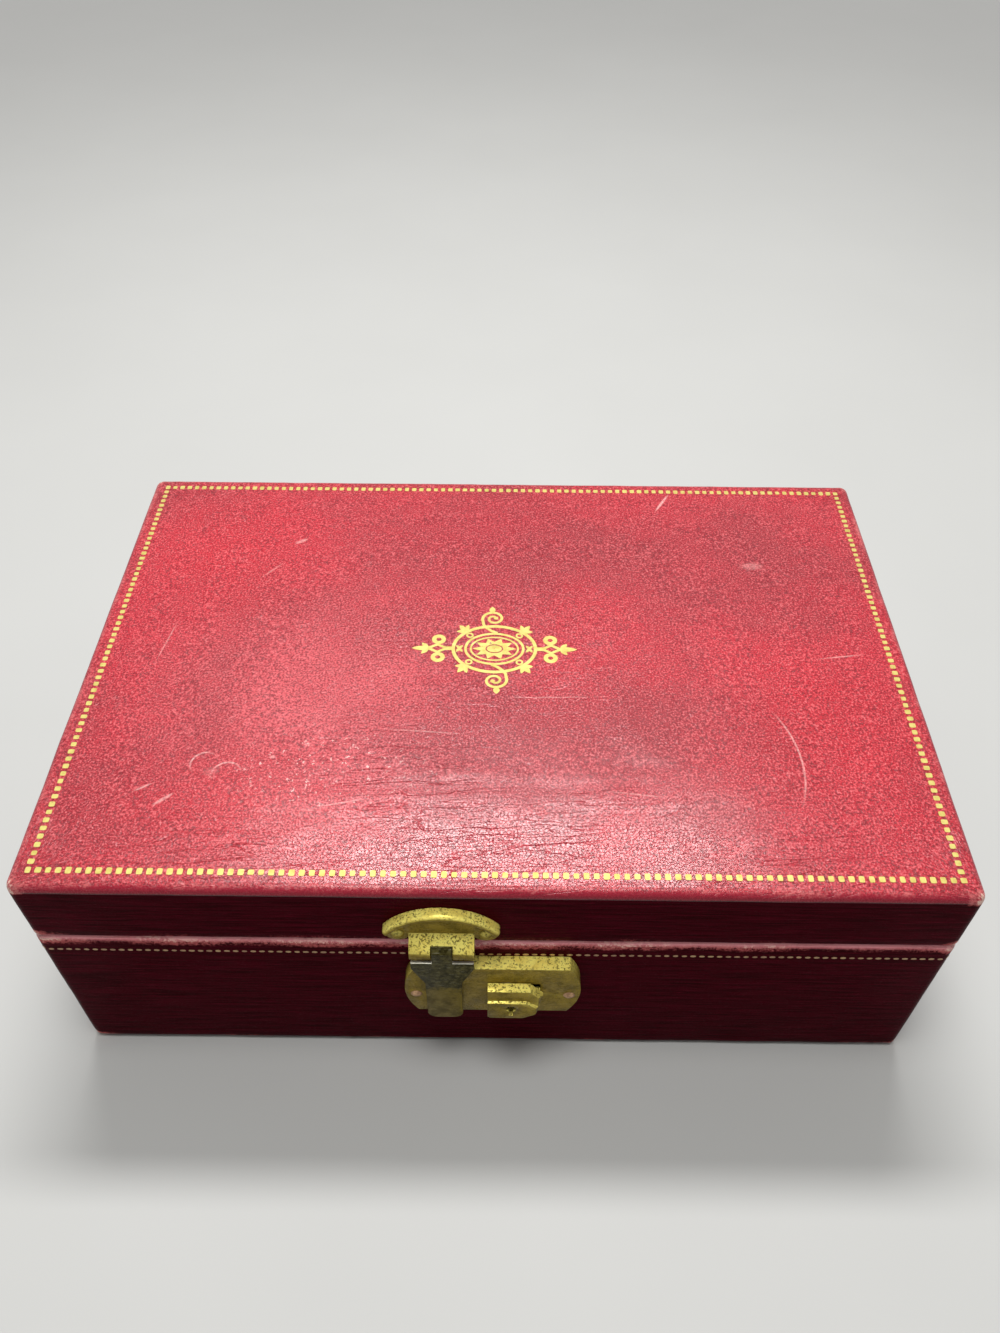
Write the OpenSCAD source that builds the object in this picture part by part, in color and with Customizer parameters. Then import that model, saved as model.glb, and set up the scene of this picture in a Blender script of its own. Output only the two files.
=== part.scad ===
/* [Case] */
// Width of the leather covered case, left to right
case_w = 264; // [250:1:290]
// Depth of the case, front to back
case_d = 180; // [172:1:200]
// Height of the leather covered base, up to the seam
base_h = 64.7; // [63:0.1:76]
// Height of the lid at its edges
lid_h = 25.5; // [24:0.1:34]
// How far the padded lid top rises above its edges
lid_crown = 2.4; // [1:0.1:4]
// Gap left at the seam between lid and base
seam_gap = 0.3; // [0.2:0.05:0.5]
// Thickness of the covering leather
leather_t = 1; // [0.8:0.1:1.4]
// Thickness of the wooden walls
wall_t = 5; // [4:0.1:6]
// Thickness of the wooden base floor
floor_t = 4; // [3:0.1:5]
// Thickness of the wooden lid board
lid_board_t = 4; // [3:0.1:4.5]
// Thickness of the bottom board that the box stands on
board_t = 1.5; // [1:0.1:2.5]
// How far the bottom board is set in from the leather
board_inset = 1.2; // [0.6:0.1:3]
// Corner radius of the case seen from above
corner_r = 3; // [2.8:0.1:5]
// Roll of the lid's top edge
lid_roll = 2.7; // [1.5:0.1:2.8]
// Roll of the base's top edge under the seam
rim_roll = 2.2; // [1:0.1:2.6]
// Roll of the lower edges of lid and base
foot_roll = 0.9; // [0.4:0.1:1.4]
// Thickness of the wadding at the lid's edges
wadding_edge_t = 0.6; // [0.4:0.1:1.2]

/* [Interior] */
// Thickness of the velvet lining on the walls
lining_t = 1; // [0.6:0.1:1.4]
// Thickness of the velvet pad on the floor
floor_pad_t = 1.5; // [1:0.1:3]
// Thickness of the velvet covered partitions
partition_t = 3; // [2:0.1:4]
// Distance of the partitions' top edge below the seam
partition_drop = 8; // [6:0.5:10]
// Depth of the rear row of compartments, front to back
rear_row_d = 55; // [53:0.5:62]
// Width of the compartment that holds the musical movement
music_bay_w = 86; // [85:0.5:92]
// Width of the ring compartment
ring_bay_w = 104; // [90:1:125]
// Number of ring rolls
ring_roll_count = 7; // [4:1:8]
// Thickness of a ring roll, front to back
ring_roll_d = 14; // [10:0.5:14.4]
// Height of a ring roll
ring_roll_h = 15; // [12:0.5:18]
// Distance of the ring rolls' top below the partitions' top
ring_roll_drop = 5.2; // [4.5:0.1:10]
// Thickness of the cover over the movement
cover_t = 2.5; // [2:0.1:3]
// Width of the mirror glass
mirror_w = 178; // [140:1:200]
// Depth of the mirror glass, front to back
mirror_d = 112; // [80:1:130]
// Thickness of the mirror glass
mirror_t = 2; // [1.5:0.1:2.6]
// Width of the frame strip around the mirror
mirror_frame_w = 7; // [5:0.5:10]
// Height of the mirror frame
mirror_frame_h = 3.4; // [3:0.1:5]
// Thickness of the lid's satin panel
lid_panel_t = 1.5; // [1:0.1:2.4]

/* [Hinges] */
// Distance between the two hinges' centres
hinge_spacing = 150; // [110:1:180]
// Width of one hinge
hinge_w = 34; // [30:1:44]
// Height of a hinge leaf below or above the knuckles
hinge_leaf_h = 13; // [12:0.5:16]
// Thickness of the hinge leaves
hinge_t = 1; // [0.8:0.1:1.4]
// Radius of the hinge knuckles
knuckle_r = 2.3; // [2:0.1:2.8]
// Radius of the hinge pins
hinge_pin_r = 1; // [0.8:0.05:1.2]
// Running clearance of pins and shafts in their bores
run_fit = 0.05; // [0.03:0.01:0.08]

/* [Latch] */
// Place of the lock shell's centre, left of the middle when negative
lock_x = -0.5; // [-4:0.5:4]
// Width of the lock shell
lock_w = 52; // [50:0.5:56]
// Height of the lock shell
lock_h = 26; // [25:0.5:28]
// Bulge of the lock shell's rounded ends
lock_end_arch = 3.6; // [3:0.1:5]
// Depth of the lock shell from the leather
lock_depth = 4.3; // [4.1:0.1:5]
// Distance of the lock shell's top below the seam
lock_drop = 8.2; // [8:0.1:12]
// Sheet thickness of the lock shell
lock_sheet_t = 0.8; // [0.6:0.05:1]
// Place of the hasp and the catch, left of the middle when negative
hasp_x = -14.8; // [-16:0.1:-14]
// Width of the hasp's shoulders
hasp_shoulder_w = 18; // [16:0.1:18.4]
// Width of the hasp's stem
hasp_stem_w = 10.6; // [9:0.1:11.5]
// Width of the hasp's neck
hasp_neck_w = 5.8; // [4.5:0.1:6]
// Thickness of the hasp
hasp_t = 1.1; // [0.9:0.05:1.3]
// Angle that the released hasp swings out
hasp_swing = 75; // [45:5:85]
// Width of the catch plate on the lid
catch_w = 32.7; // [31:0.1:36]
// Rise of the catch plate's arch over its side tips
catch_arch = 9.1; // [8:0.1:10]
// Distance of the catch plate's top edge below the lid's top edge
catch_drop = 7.4; // [6:0.1:8]
// Thickness of the catch plate
catch_t = 1.2; // [0.9:0.1:1.5]
// Width of the catch's tongue
tongue_w = 18.4; // [17:0.1:20]
// How far the tongue's lip stands out from the leather
tongue_reach = 5.6; // [5.4:0.1:6.2]
// Width of the notch in the tongue
notch_w = 6.3; // [6.2:0.1:7]
// Width of the slide knob
knob_w = 16.5; // [15:0.5:17]
// Height of the slide knob
knob_h = 15; // [14:0.5:15.5]
// How far the slide knob stands out from the lock shell
knob_depth = 3.8; // [3.4:0.1:4.4]
// Travel of the slide knob to the right
knob_travel = 5; // [3:0.5:5]

/* [Musical movement] */
// Width of the bedplate
bedplate_w = 70; // [68:0.5:74]
// Height of the bedplate
bedplate_h = 40; // [38:0.5:41]
// Thickness of the bedplate
bedplate_t = 2; // [1.6:0.1:2.4]
// Height of the winding arbor over the rest plane
arbor_z = 30; // [29.5:0.1:31]
// Radius of the winding arbor
arbor_r = 2; // [1.6:0.1:2.2]
// Radius of the spring barrel
barrel_r = 11.8; // [11.5:0.1:12]
// Depth of the spring barrel
barrel_d = 11; // [10:0.5:12]
// Number of teeth of the crown wheel on the barrel
crown_teeth = 32; // [32:1:32]
// Number of teeth of the cylinder's pinion
pinion_teeth = 16; // [16:1:16]
// Tooth size of crown wheel and pinion
crown_module = 0.6; // [0.58:0.01:0.62]
// Radius of the tune cylinder
tune_r = 6.5; // [6:0.1:6.8]
// Length of the tune cylinder
tune_l = 19; // [18.6:0.1:20]
// Number of tuned teeth on the comb
comb_teeth = 18; // [12:1:20]
// Number of teeth of the wheel on the cylinder shaft
wheel_teeth = 40; // [40:1:40]
// Number of teeth of the governor's pinion
leaf_teeth = 10; // [10:1:10]
// Tooth size of the governor train
train_module = 0.4; // [0.39:0.01:0.41]
// Number of teeth of the governor's worm wheel
worm_wheel_teeth = 30; // [30:1:30]
// Span of the fly's two vanes
fly_span = 8.6; // [7:0.1:9]
// Height of the fly's vanes
fly_h = 4; // [3:0.1:4.4]
// Span of the winding key's wings
key_wing_w = 20; // [16:0.5:24]
// How far the winding key stands out behind the case
key_reach = 15; // [14:0.5:20]
// Rise of the stop wire when the lid is opened
stop_rise = 3; // [2:0.1:4]

/* [Hidden] */
$fn = 48;

seam_z = board_t + base_h;
lid_z = seam_z + seam_gap;
lid_top_z = lid_z + lid_h;
front_y = -case_d / 2;
back_y = case_d / 2;
// Size of the wooden carcasses, inside the leather
carcass_w = case_w - 2 * leather_t;
carcass_d = case_d - 2 * leather_t;
carcass_r = corner_r - leather_t;
// Clear size inside the wooden walls, and inside the lining
hollow_w = carcass_w - 2 * wall_t;
hollow_d = carcass_d - 2 * wall_t;
room_w = hollow_w - 2 * lining_t;
room_d = hollow_d - 2 * lining_t;
// Heights in the base
carcass_z = board_t + leather_t;
carcass_top_z = seam_z - leather_t;
room_z = carcass_z + floor_t + floor_pad_t;
partition_top_z = seam_z - partition_drop;
// Heights in the lid
wadding_top_z = lid_top_z - leather_t;
lid_board_top_z = wadding_top_z - wadding_edge_t;
lid_board_z = lid_board_top_z - lid_board_t;
lid_panel_z = lid_board_z - lid_panel_t;
lid_carcass_z = lid_z + leather_t;
crown_inset = lid_roll + 0.6;

module rounded_rect(w, d, r) {
  square([w - 2 * r, d], center = true);
  square([w, d - 2 * r], center = true);
  for (x = [-1, 1], y = [-1, 1]) translate([x * (w / 2 - r), y * (d / 2 - r)]) circle(r);
}

// Outline of a wall's outer stretch with its lower and upper edges rolled
module roll_profile(reach, z0, z1, r_low, r_high) {
  translate([0, z0 + r_low]) square([reach, z1 - z0 - r_low - r_high]);
  translate([0, z0]) square([reach - r_low, r_low]);
  translate([0, z1 - r_high]) square([reach - r_high, r_high]);
  intersection() {
    translate([reach - r_high, z1 - r_high]) circle(r_high);
    translate([0, z1 - r_high]) square([reach, r_high]);
  }
  intersection() {
    translate([reach - r_low, z0 + r_low]) circle(r_low);
    translate([0, z0]) square([reach, r_low]);
  }
}

// Carries an outline round the four sides and corners of a rectangle
module edge_sweep(w, d, r) {
  for (i = [0:3]) {
    across = i % 2 == 0 ? w : d;
    along = i % 2 == 0 ? d : w;
    rotate(90 * i) {
      translate([across / 2 - r, along / 2 - r, 0]) rotate_extrude(angle = 90) children();
      translate([r - across / 2, along / 2 - r, 0]) rotate([90, 0, 90]) linear_extrude(across - 2 * r) children();
    }
  }
}

module rolled_block(w, d, z0, z1, r_low, r_high) {
  edge_sweep(w, d, corner_r) roll_profile(corner_r, z0, z1, r_low, r_high);
  translate([corner_r - w / 2, corner_r - d / 2, z0]) cube([w - 2 * corner_r, d - 2 * corner_r, z1 - z0]);
}

// Rise of the padded lid at a place given as shares of its half width and half depth
function crown_at(u, v) = lid_crown * (1 - pow(abs(u), 3)) * (1 - pow(abs(v), 3));

// Crowned slab with a flat underside at z0 and edges at z1
module crowned_slab(w, d, z0, z1) {
  nu = 18;
  nv = 14;
  us = [for (i = [0:nu]) 2 * i / nu - 1];
  vs = [for (j = [0:nv]) 2 * j / nv - 1];
  top = [for (u = us, v = vs) [u * w / 2, v * d / 2, z1 + crown_at(u, v)]];
  low = [for (u = us, v = vs) [u * w / 2, v * d / 2, z0]];
  count = len(top);
  function at(i, j) = i * (nv + 1) + j;
  faces = [
    for (i = [0:nu - 1], j = [0:nv - 1]) each [
      [at(i, j), at(i, j + 1), at(i + 1, j + 1)], [at(i, j), at(i + 1, j + 1), at(i + 1, j)],
      [count + at(i, j), count + at(i + 1, j), count + at(i + 1, j + 1)],
      [count + at(i, j), count + at(i + 1, j + 1), count + at(i, j + 1)]
    ],
    for (i = [0:nu - 1]) each [
      [at(i, 0), at(i + 1, 0), count + at(i + 1, 0)], [at(i, 0), count + at(i + 1, 0), count + at(i, 0)],
      [at(i + 1, nv), at(i, nv), count + at(i, nv)], [at(i + 1, nv), count + at(i, nv), count + at(i + 1, nv)]
    ],
    for (j = [0:nv - 1]) each [
      [at(0, j + 1), at(0, j), count + at(0, j)], [at(0, j + 1), count + at(0, j), count + at(0, j + 1)],
      [at(nu, j), at(nu, j + 1), count + at(nu, j + 1)], [at(nu, j), count + at(nu, j + 1), count + at(nu, j)]
    ]
  ];
  polyhedron(concat(top, low), faces);
}

// Open coil of round wire along Z, as one unbroken tube
module coil_spring(coil_r, wire_r, turns, height) {
  sides = 6;
  steps = 8 * turns;
  ring = [for (i = [0:steps], k = [0:sides - 1])
    let (a = 360 * i / 8, b = 360 * k / sides, r = coil_r + wire_r * cos(b))
    [r * cos(a), r * sin(a), height * i / steps + wire_r * sin(b)]];
  faces = concat(
    [[for (k = [0:sides - 1]) k]],
    [for (i = [0:steps - 1], k = [0:sides - 1]) each
      [[i * sides + k, (i + 1) * sides + k, (i + 1) * sides + (k + 1) % sides],
       [i * sides + k, (i + 1) * sides + (k + 1) % sides, i * sides + (k + 1) % sides]]],
    [[for (k = [sides - 1:-1:0]) steps * sides + k]]
  );
  polyhedron(ring, faces);
}

// The box that stands on the table

module bottom_board() {
  color("black") linear_extrude(board_t)
    rounded_rect(case_w - 2 * board_inset, case_d - 2 * board_inset, corner_r);
}

module base_carcass() {
  color("burlywood") difference() {
    translate([0, 0, carcass_z]) linear_extrude(carcass_top_z - carcass_z)
      rounded_rect(carcass_w, carcass_d, carcass_r);
    translate([0, 0, carcass_z + floor_t]) linear_extrude(base_h) square([hollow_w, hollow_d], center = true);
    arbor_hole(arbor_hole_r);
    bedplate_screw_holes();
    hinge_screw_bores(-1);
    lock_rivet_bores();
  }
}

module base_leather() {
  color("darkred") difference() {
    rolled_block(case_w, case_d, board_t, seam_z, foot_roll, rim_roll);
    translate([0, 0, carcass_z]) linear_extrude(carcass_top_z - carcass_z)
      rounded_rect(carcass_w, carcass_d, carcass_r);
    translate([0, 0, carcass_z]) linear_extrude(base_h) square([hollow_w, hollow_d], center = true);
    arbor_hole(arbor_hole_r);
    hinge_screw_bores(-1);
    lock_rivet_bores();
  }
}

module base_lining() {
  color("maroon") difference() {
    translate([0, 0, carcass_z + floor_t]) linear_extrude(carcass_top_z - carcass_z - floor_t)
      square([hollow_w, hollow_d], center = true);
    translate([0, 0, room_z]) linear_extrude(base_h) square([room_w, room_d], center = true);
    arbor_hole(arbor_hole_r);
    bedplate_screw_holes();
  }
}

// Places of the compartments, from the lining's inner faces
row_y = room_d / 2 - rear_row_d;
bay_x = room_w / 2 - music_bay_w;
ring_x = -room_w / 2 + ring_bay_w;
front_row_d = room_d - rear_row_d - partition_t;
front_split_x = (ring_x + partition_t + room_w / 2) / 2;
ring_riser_h = partition_top_z - ring_roll_drop - ring_roll_h - room_z;

module long_partition() {
  color("maroon") translate([-room_w / 2, row_y - partition_t, room_z])
    cube([room_w, partition_t, partition_top_z - room_z]);
}

module cross_partitions() {
  color("maroon") {
    translate([bay_x - partition_t, row_y, room_z]) cube([partition_t, rear_row_d, partition_top_z - room_z]);
    for (x = [ring_x, front_split_x])
      translate([x, -room_d / 2, room_z]) cube([partition_t, front_row_d, partition_top_z - room_z]);
  }
}

module ring_riser() {
  color("maroon") translate([-room_w / 2, -room_d / 2, room_z]) cube([ring_bay_w, front_row_d, ring_riser_h]);
}

// One padded roll, half round on top, with drawn-in ends
module ring_roll(length) {
  r = ring_roll_d / 2;
  straight = ring_roll_h - r;
  translate([-length / 2, -r, 0]) cube([length, ring_roll_d, straight]);
  translate([-length / 2, 0, straight]) rotate([0, 90, 0]) cylinder(r = r, h = length);
}

module ring_rolls() {
  pitch = front_row_d / ring_roll_count;
  color("firebrick") for (i = [0:ring_roll_count - 1])
    translate([-room_w / 2 + ring_bay_w / 2, -room_d / 2 + (i + 0.5) * pitch, room_z + ring_riser_h])
      ring_roll(ring_bay_w - 0.6);
}

module music_cover() {
  color("maroon") difference() {
    translate([bay_x, row_y, cover_z]) cube([music_bay_w, rear_row_d, cover_t]);
    translate([stop_x, stop_y, 0]) cylinder(r = stop_wire_r + 0.4, h = seam_z);
  }
}

// Hinges on the outside of the back

hinge_y = back_y + knuckle_r + 0.3;
hinge_z = seam_z;
knuckle_gap = 0.3;
knuckle_l = (hinge_w - 2 * knuckle_gap) / 3;
hinge_screw_r = 1.1;
hinge_screw_grip = 4;
hinge_screw_head_r = 2;
hinge_screw_head_h = 0.9;
hinge_screw_spread = hinge_w / 2 - 5;
hinge_screw_drop = hinge_leaf_h - 4;

module at_hinges() {
  for (x = [-1, 1]) translate([x * hinge_spacing / 2, 0, 0]) children();
}

module knuckle(x) {
  translate([x - knuckle_l / 2, hinge_y, hinge_z]) rotate([0, 90, 0]) cylinder(r = knuckle_r, h = knuckle_l);
}

// Leaf with its knuckles; side is 1 for the lid's leaf above and -1 for the base's leaf below
module hinge_leaf(side, knuckle_places) {
  leaf_start = knuckle_r + 0.3;
  difference() {
    union() {
      translate([0, back_y + hinge_t / 2, hinge_z + side * (leaf_start + hinge_leaf_h / 2)])
        cube([hinge_w, hinge_t, hinge_leaf_h], center = true);
      for (x = knuckle_places) {
        knuckle(x);
        translate([x - knuckle_l / 2, back_y, hinge_z + (side > 0 ? 0.4 : -leaf_start - 0.2)])
          cube([knuckle_l, hinge_t, leaf_start - 0.2]);
      }
    }
    translate([-hinge_w, hinge_y, hinge_z]) rotate([0, 90, 0])
      cylinder(r = hinge_pin_r + run_fit, h = 2 * hinge_w);
    hinge_screw_places(side) cylinder(r = hinge_screw_r, h = 4 * hinge_t, center = true);
  }
}

module hinge_screw_places(side) {
  for (x = [-1, 1])
    translate([x * hinge_screw_spread, back_y, hinge_z + side * (knuckle_r + 0.3 + hinge_screw_drop)])
      rotate([-90, 0, 0]) children();
}

module hinge_screws(side) {
  at_hinges() hinge_screw_places(side) {
    translate([0, 0, -leather_t - hinge_screw_grip])
      cylinder(r = hinge_screw_r, h = hinge_t + leather_t + hinge_screw_grip);
    difference() {
      translate([0, 0, hinge_t]) cylinder(r = hinge_screw_head_r, h = hinge_screw_head_h);
      translate([-hinge_screw_head_r - 0.5, -0.3, hinge_t + 0.5 * hinge_screw_head_h])
        cube([2 * hinge_screw_head_r + 1, 0.6, hinge_screw_head_h]);
    }
  }
}

module hinge_base_leaves() {
  color("goldenrod") at_hinges() hinge_leaf(-1, [-knuckle_l - knuckle_gap, knuckle_l + knuckle_gap]);
}

module hinge_lid_leaves() {
  color("goldenrod") at_hinges() hinge_leaf(1, [0]);
}

hinge_pin_spare = 0.4;
hinge_pin_head_r = 1.6;
hinge_pin_head_t = 0.6;
module hinge_pins() {
  color("darkgoldenrod") at_hinges() translate([0, hinge_y, hinge_z]) rotate([0, 90, 0]) {
    cylinder(r = hinge_pin_r, h = hinge_w + hinge_pin_spare, center = true);
    for (x = [-1, 1]) translate([0, 0, x * (hinge_w / 2 + hinge_pin_spare / 2 + hinge_pin_head_t / 2)])
      cylinder(r = hinge_pin_head_r, h = hinge_pin_head_t, center = true);
  }
}

module hinge_base_screws() { color("darkgoldenrod") hinge_screws(-1); }
module hinge_lid_screws() { color("darkgoldenrod") hinge_screws(1); }

// The lid

module lid_carcass() {
  color("burlywood") difference() {
    translate([0, 0, lid_carcass_z]) linear_extrude(lid_board_top_z - lid_carcass_z)
      rounded_rect(carcass_w, carcass_d, carcass_r);
    linear_extrude(lid_board_z) square([hollow_w, hollow_d], center = true);
    hinge_screw_bores(1);
    catch_rivet_bores();
  }
}

module lid_wadding() {
  color("ivory") difference() {
    crowned_slab(carcass_w - 2 * crown_inset, carcass_d - 2 * crown_inset, lid_board_top_z, wadding_top_z);
  }
}

module lid_leather() {
  color("firebrick") difference() {
    union() {
      rolled_block(case_w, case_d, lid_z, lid_top_z, foot_roll, lid_roll);
      crowned_slab(carcass_w - 2 * crown_inset, carcass_d - 2 * crown_inset, wadding_top_z, lid_top_z);
    }
    translate([0, 0, lid_carcass_z]) linear_extrude(lid_board_top_z - lid_carcass_z)
      rounded_rect(carcass_w, carcass_d, carcass_r);
    linear_extrude(lid_board_z) square([hollow_w, hollow_d], center = true);
    crowned_slab(carcass_w - 2 * crown_inset, carcass_d - 2 * crown_inset, lid_board_top_z - 0.01, wadding_top_z);
    hinge_screw_bores(1);
    catch_rivet_bores();
  }
}

module lid_lining() {
  color("maroon") difference() {
    translate([0, 0, lid_carcass_z]) linear_extrude(lid_board_z - lid_carcass_z)
      square([hollow_w, hollow_d], center = true);
    linear_extrude(lid_panel_z) square([room_w, room_d], center = true);
  }
}

mirror_z = lid_panel_z - mirror_t - 0.2;

module mirror_frame() {
  color("goldenrod") translate([0, 0, lid_panel_z - mirror_frame_h]) difference() {
    linear_extrude(mirror_frame_h)
      rounded_rect(mirror_w + 2 * mirror_frame_w - 4, mirror_d + 2 * mirror_frame_w - 4, 2);
    translate([0, 0, -1]) linear_extrude(mirror_frame_h + 2) square([mirror_w - 4, mirror_d - 4], center = true);
    translate([0, 0, mirror_frame_h - mirror_t - 0.2]) linear_extrude(mirror_t + 1)
      square([mirror_w, mirror_d], center = true);
  }
}

module mirror_glass() {
  color("silver") translate([0, 0, mirror_z]) linear_extrude(mirror_t)
    square([mirror_w - 0.4, mirror_d - 0.4], center = true);
}

module hinge_screw_bores(side) {
  at_hinges() hinge_screw_places(side)
    translate([0, 0, -leather_t - hinge_screw_grip])
      cylinder(r = hinge_screw_r, h = hinge_t + leather_t + hinge_screw_grip + 1);
}

// The latch, drawn on the front face: X across, Y up the box, Z outwards

lock_z0 = seam_z - lock_drop - lock_h;
lock_mid_z = lock_z0 + lock_h / 2;
lock_plate_t = 0.8;
rivet_x = lock_w / 2 - 3.3;
rivet_z = lock_mid_z - 2.5;
latch_rivet_r = 0.9;
// Depth that rivets and screws go into the wood
rivet_grip = 3;
// The hasp lies over the shell and turns on a pin at its lower end
hasp_out = lock_depth + 0.25;
hasp_knuckle_r = 1.5;
hasp_pin_r = 0.6;
hasp_pivot_z = lock_z0 - 0.4;
hasp_pivot_out = hasp_out + 0.25 - hasp_knuckle_r;
hasp_ear_x = 3.2;
hasp_ear_t = 0.8;
hasp_ear_r = hasp_knuckle_r - 0.4;
hasp_tail = 1.9;
lug_z = lock_mid_z + 6.6;
// The keeper on the catch plate, under the nose of the hasp's neck
keeper_top_z = lid_z + 2.4;
catch_low_z = lid_z + 0.6;
notch_top_z = lid_z + 3.8;
catch_top_z = lid_top_z - catch_drop;
catch_radius = (pow(catch_w / 2, 2) + pow(catch_arch, 2)) / (2 * catch_arch);
catch_half_angle = asin(catch_w / 2 / catch_radius);
catch_tip_z = catch_top_z - catch_arch;
catch_rim_w = 2.3;
lobe_r = 3.4;
lobe_x = catch_w / 2 - 4;
lobe_z = lid_z + 5.9;
// The knob and the bolt behind it
knob_x = lock_x + 6.75;
knob_z = lock_mid_z - 2.5;
knob_out = lock_depth + 0.15;
knob_step_z = 2;
knob_step_d = 0.9;
keyhole_x = -1.3;
keyhole_z = -1.6;
keyhole_r = 1.5;
cam_r = 2.4;
bolt_t = 1.1;
bolt_out = lock_depth - lock_sheet_t - bolt_t - 0.15;
bolt_x0 = hasp_x + 2.6;
bolt_neck_x = knob_x - 4;
bolt_neck_w = 6;
bolt_neck_z = knob_z + 3.8;
bolt_neck_h = 2.6;
knob_spring_x0 = knob_x + 4.8;
knob_spring_x1 = rivet_x + lock_x - 2.9;
knob_spring_z = knob_z - 1;
knob_spring_out = 2;

module on_front(x, z, out) {
  translate([x, front_y - out, z]) rotate([90, 0, 0]) children();
}

// Solid drawn by its side outline, with points given as distance out and height
module side_form(x0, w, points) {
  translate([x0, front_y, 0]) rotate([90, 0, 90]) linear_extrude(w)
    polygon([for (p = points) [-p[0], p[1]]]);
}

// Flat above and below, with shallow arched ends
module lock_outline(w, h) {
  end_radius = (h * h / 4 + lock_end_arch * lock_end_arch) / (2 * lock_end_arch);
  for (side = [-1, 1]) intersection() {
    translate([side * (w / 4 - 0.5), 0]) square([w / 2 + 1, h], center = true);
    translate([side * (w / 2 - end_radius), 0]) circle(end_radius);
  }
}

module dome(r, h) {
  ball_r = (r * r + h * h) / (2 * h);
  rotate_extrude() intersection() {
    translate([0, h - ball_r]) circle(ball_r);
    square([r, h]);
  }
}

module at_lock_rivets(out) {
  for (x = [-1, 1]) on_front(lock_x + x * rivet_x, rivet_z, out) children();
}

module lock_rivet_bores() {
  at_lock_rivets(-leather_t - rivet_grip) cylinder(r = latch_rivet_r, h = leather_t + rivet_grip + 1);
}

module lock_plate() {
  color("goldenrod") difference() {
    union() {
      on_front(lock_x, lock_mid_z, 0) linear_extrude(lock_plate_t)
        lock_outline(lock_w - 2 * lock_sheet_t - 0.2, lock_h - 2 * lock_sheet_t - 0.2);
      for (x = [-hasp_ear_x - hasp_ear_t, hasp_ear_x]) {
        translate([hasp_x + x, front_y - hasp_pivot_out, hasp_pivot_z - hasp_ear_r])
          cube([hasp_ear_t, hasp_pivot_out - lock_plate_t / 2, 4]);
        along_x(hasp_x + x, front_y - hasp_pivot_out, hasp_pivot_z) cylinder(r = hasp_ear_r, h = hasp_ear_t);
      }
      translate([knob_spring_x1, front_y - 2.8, knob_spring_z - 1.6]) cube([0.8, 2.8, 3.2]);
    }
    on_hasp_pin() cylinder(r = hasp_pin_r, h = hasp_stem_w, center = true);
    at_lock_rivets(-1) cylinder(r = latch_rivet_r, h = lock_depth);
  }
}

module lock_shell() {
  color("gold") difference() {
    on_front(lock_x, lock_mid_z, 0) difference() {
      linear_extrude(lock_depth) lock_outline(lock_w, lock_h);
      translate([0, 0, -1]) linear_extrude(lock_depth + 1 - lock_sheet_t)
        lock_outline(lock_w - 2 * lock_sheet_t, lock_h - 2 * lock_sheet_t);
    }
    // Gap for the hasp's knuckle at the lower edge
    translate([hasp_x - hasp_ear_x - 1.2, front_y - lock_depth - 1, lock_z0 - 1])
      cube([2 * hasp_ear_x + 2.4, lock_depth + 2, hasp_pivot_z + 3.2 - lock_z0 + 1]);
    // Window for the hasp's lug
    translate([hasp_x + 0.6, front_y - lock_depth - 1, lug_z - 1.6]) cube([4.4, 2.4, 3.2]);
    // Slot that the slide knob's neck runs in
    translate([bolt_neck_x - 0.3, front_y - lock_depth - 1, bolt_neck_z - 0.3])
      cube([bolt_neck_w + knob_travel + 0.6, 2.4, bolt_neck_h + 0.6]);
    at_lock_rivets(-1) cylinder(r = latch_rivet_r, h = 2 * lock_depth);
  }
}

module lock_rivets() {
  color("peru") at_lock_rivets(-leather_t - rivet_grip) {
    cylinder(r = latch_rivet_r, h = leather_t + rivet_grip + lock_depth);
    translate([0, 0, leather_t + rivet_grip + lock_depth]) dome(1.8, 0.7);
  }
}

module on_hasp_pin() {
  translate([hasp_x, front_y - hasp_pivot_out, hasp_pivot_z]) rotate([0, 90, 0]) children();
}

module hasp_pin() {
  color("silver") on_hasp_pin() cylinder(r = hasp_pin_r, h = 2 * (hasp_ear_x + hasp_ear_t) + 0.4, center = true);
}

module hasp_spring() {
  color("dimgray") on_hasp_pin() translate([0, 0, 1.1]) coil_spring(1, 0.2, 2, 1.8);
}

module hasp_outline() {
  half_stem = hasp_stem_w / 2;
  half_shoulder = hasp_shoulder_w / 2;
  top = lid_z - 3;
  low = hasp_pivot_z - hasp_tail;
  corner = 3;
  translate([-half_stem, low + corner]) square([hasp_stem_w, top - low - corner - 6]);
  translate([corner - half_stem, low]) square([hasp_stem_w - 2 * corner, corner + 1]);
  for (x = [-1, 1]) translate([x * (half_stem - corner), low + corner]) circle(corner);
  polygon([
    [-half_stem, top - 12], [half_stem, top - 12], [half_shoulder, top - 3.2],
    [half_shoulder, top], [-half_shoulder, top], [-half_shoulder, top - 3.2]
  ]);
}

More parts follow.
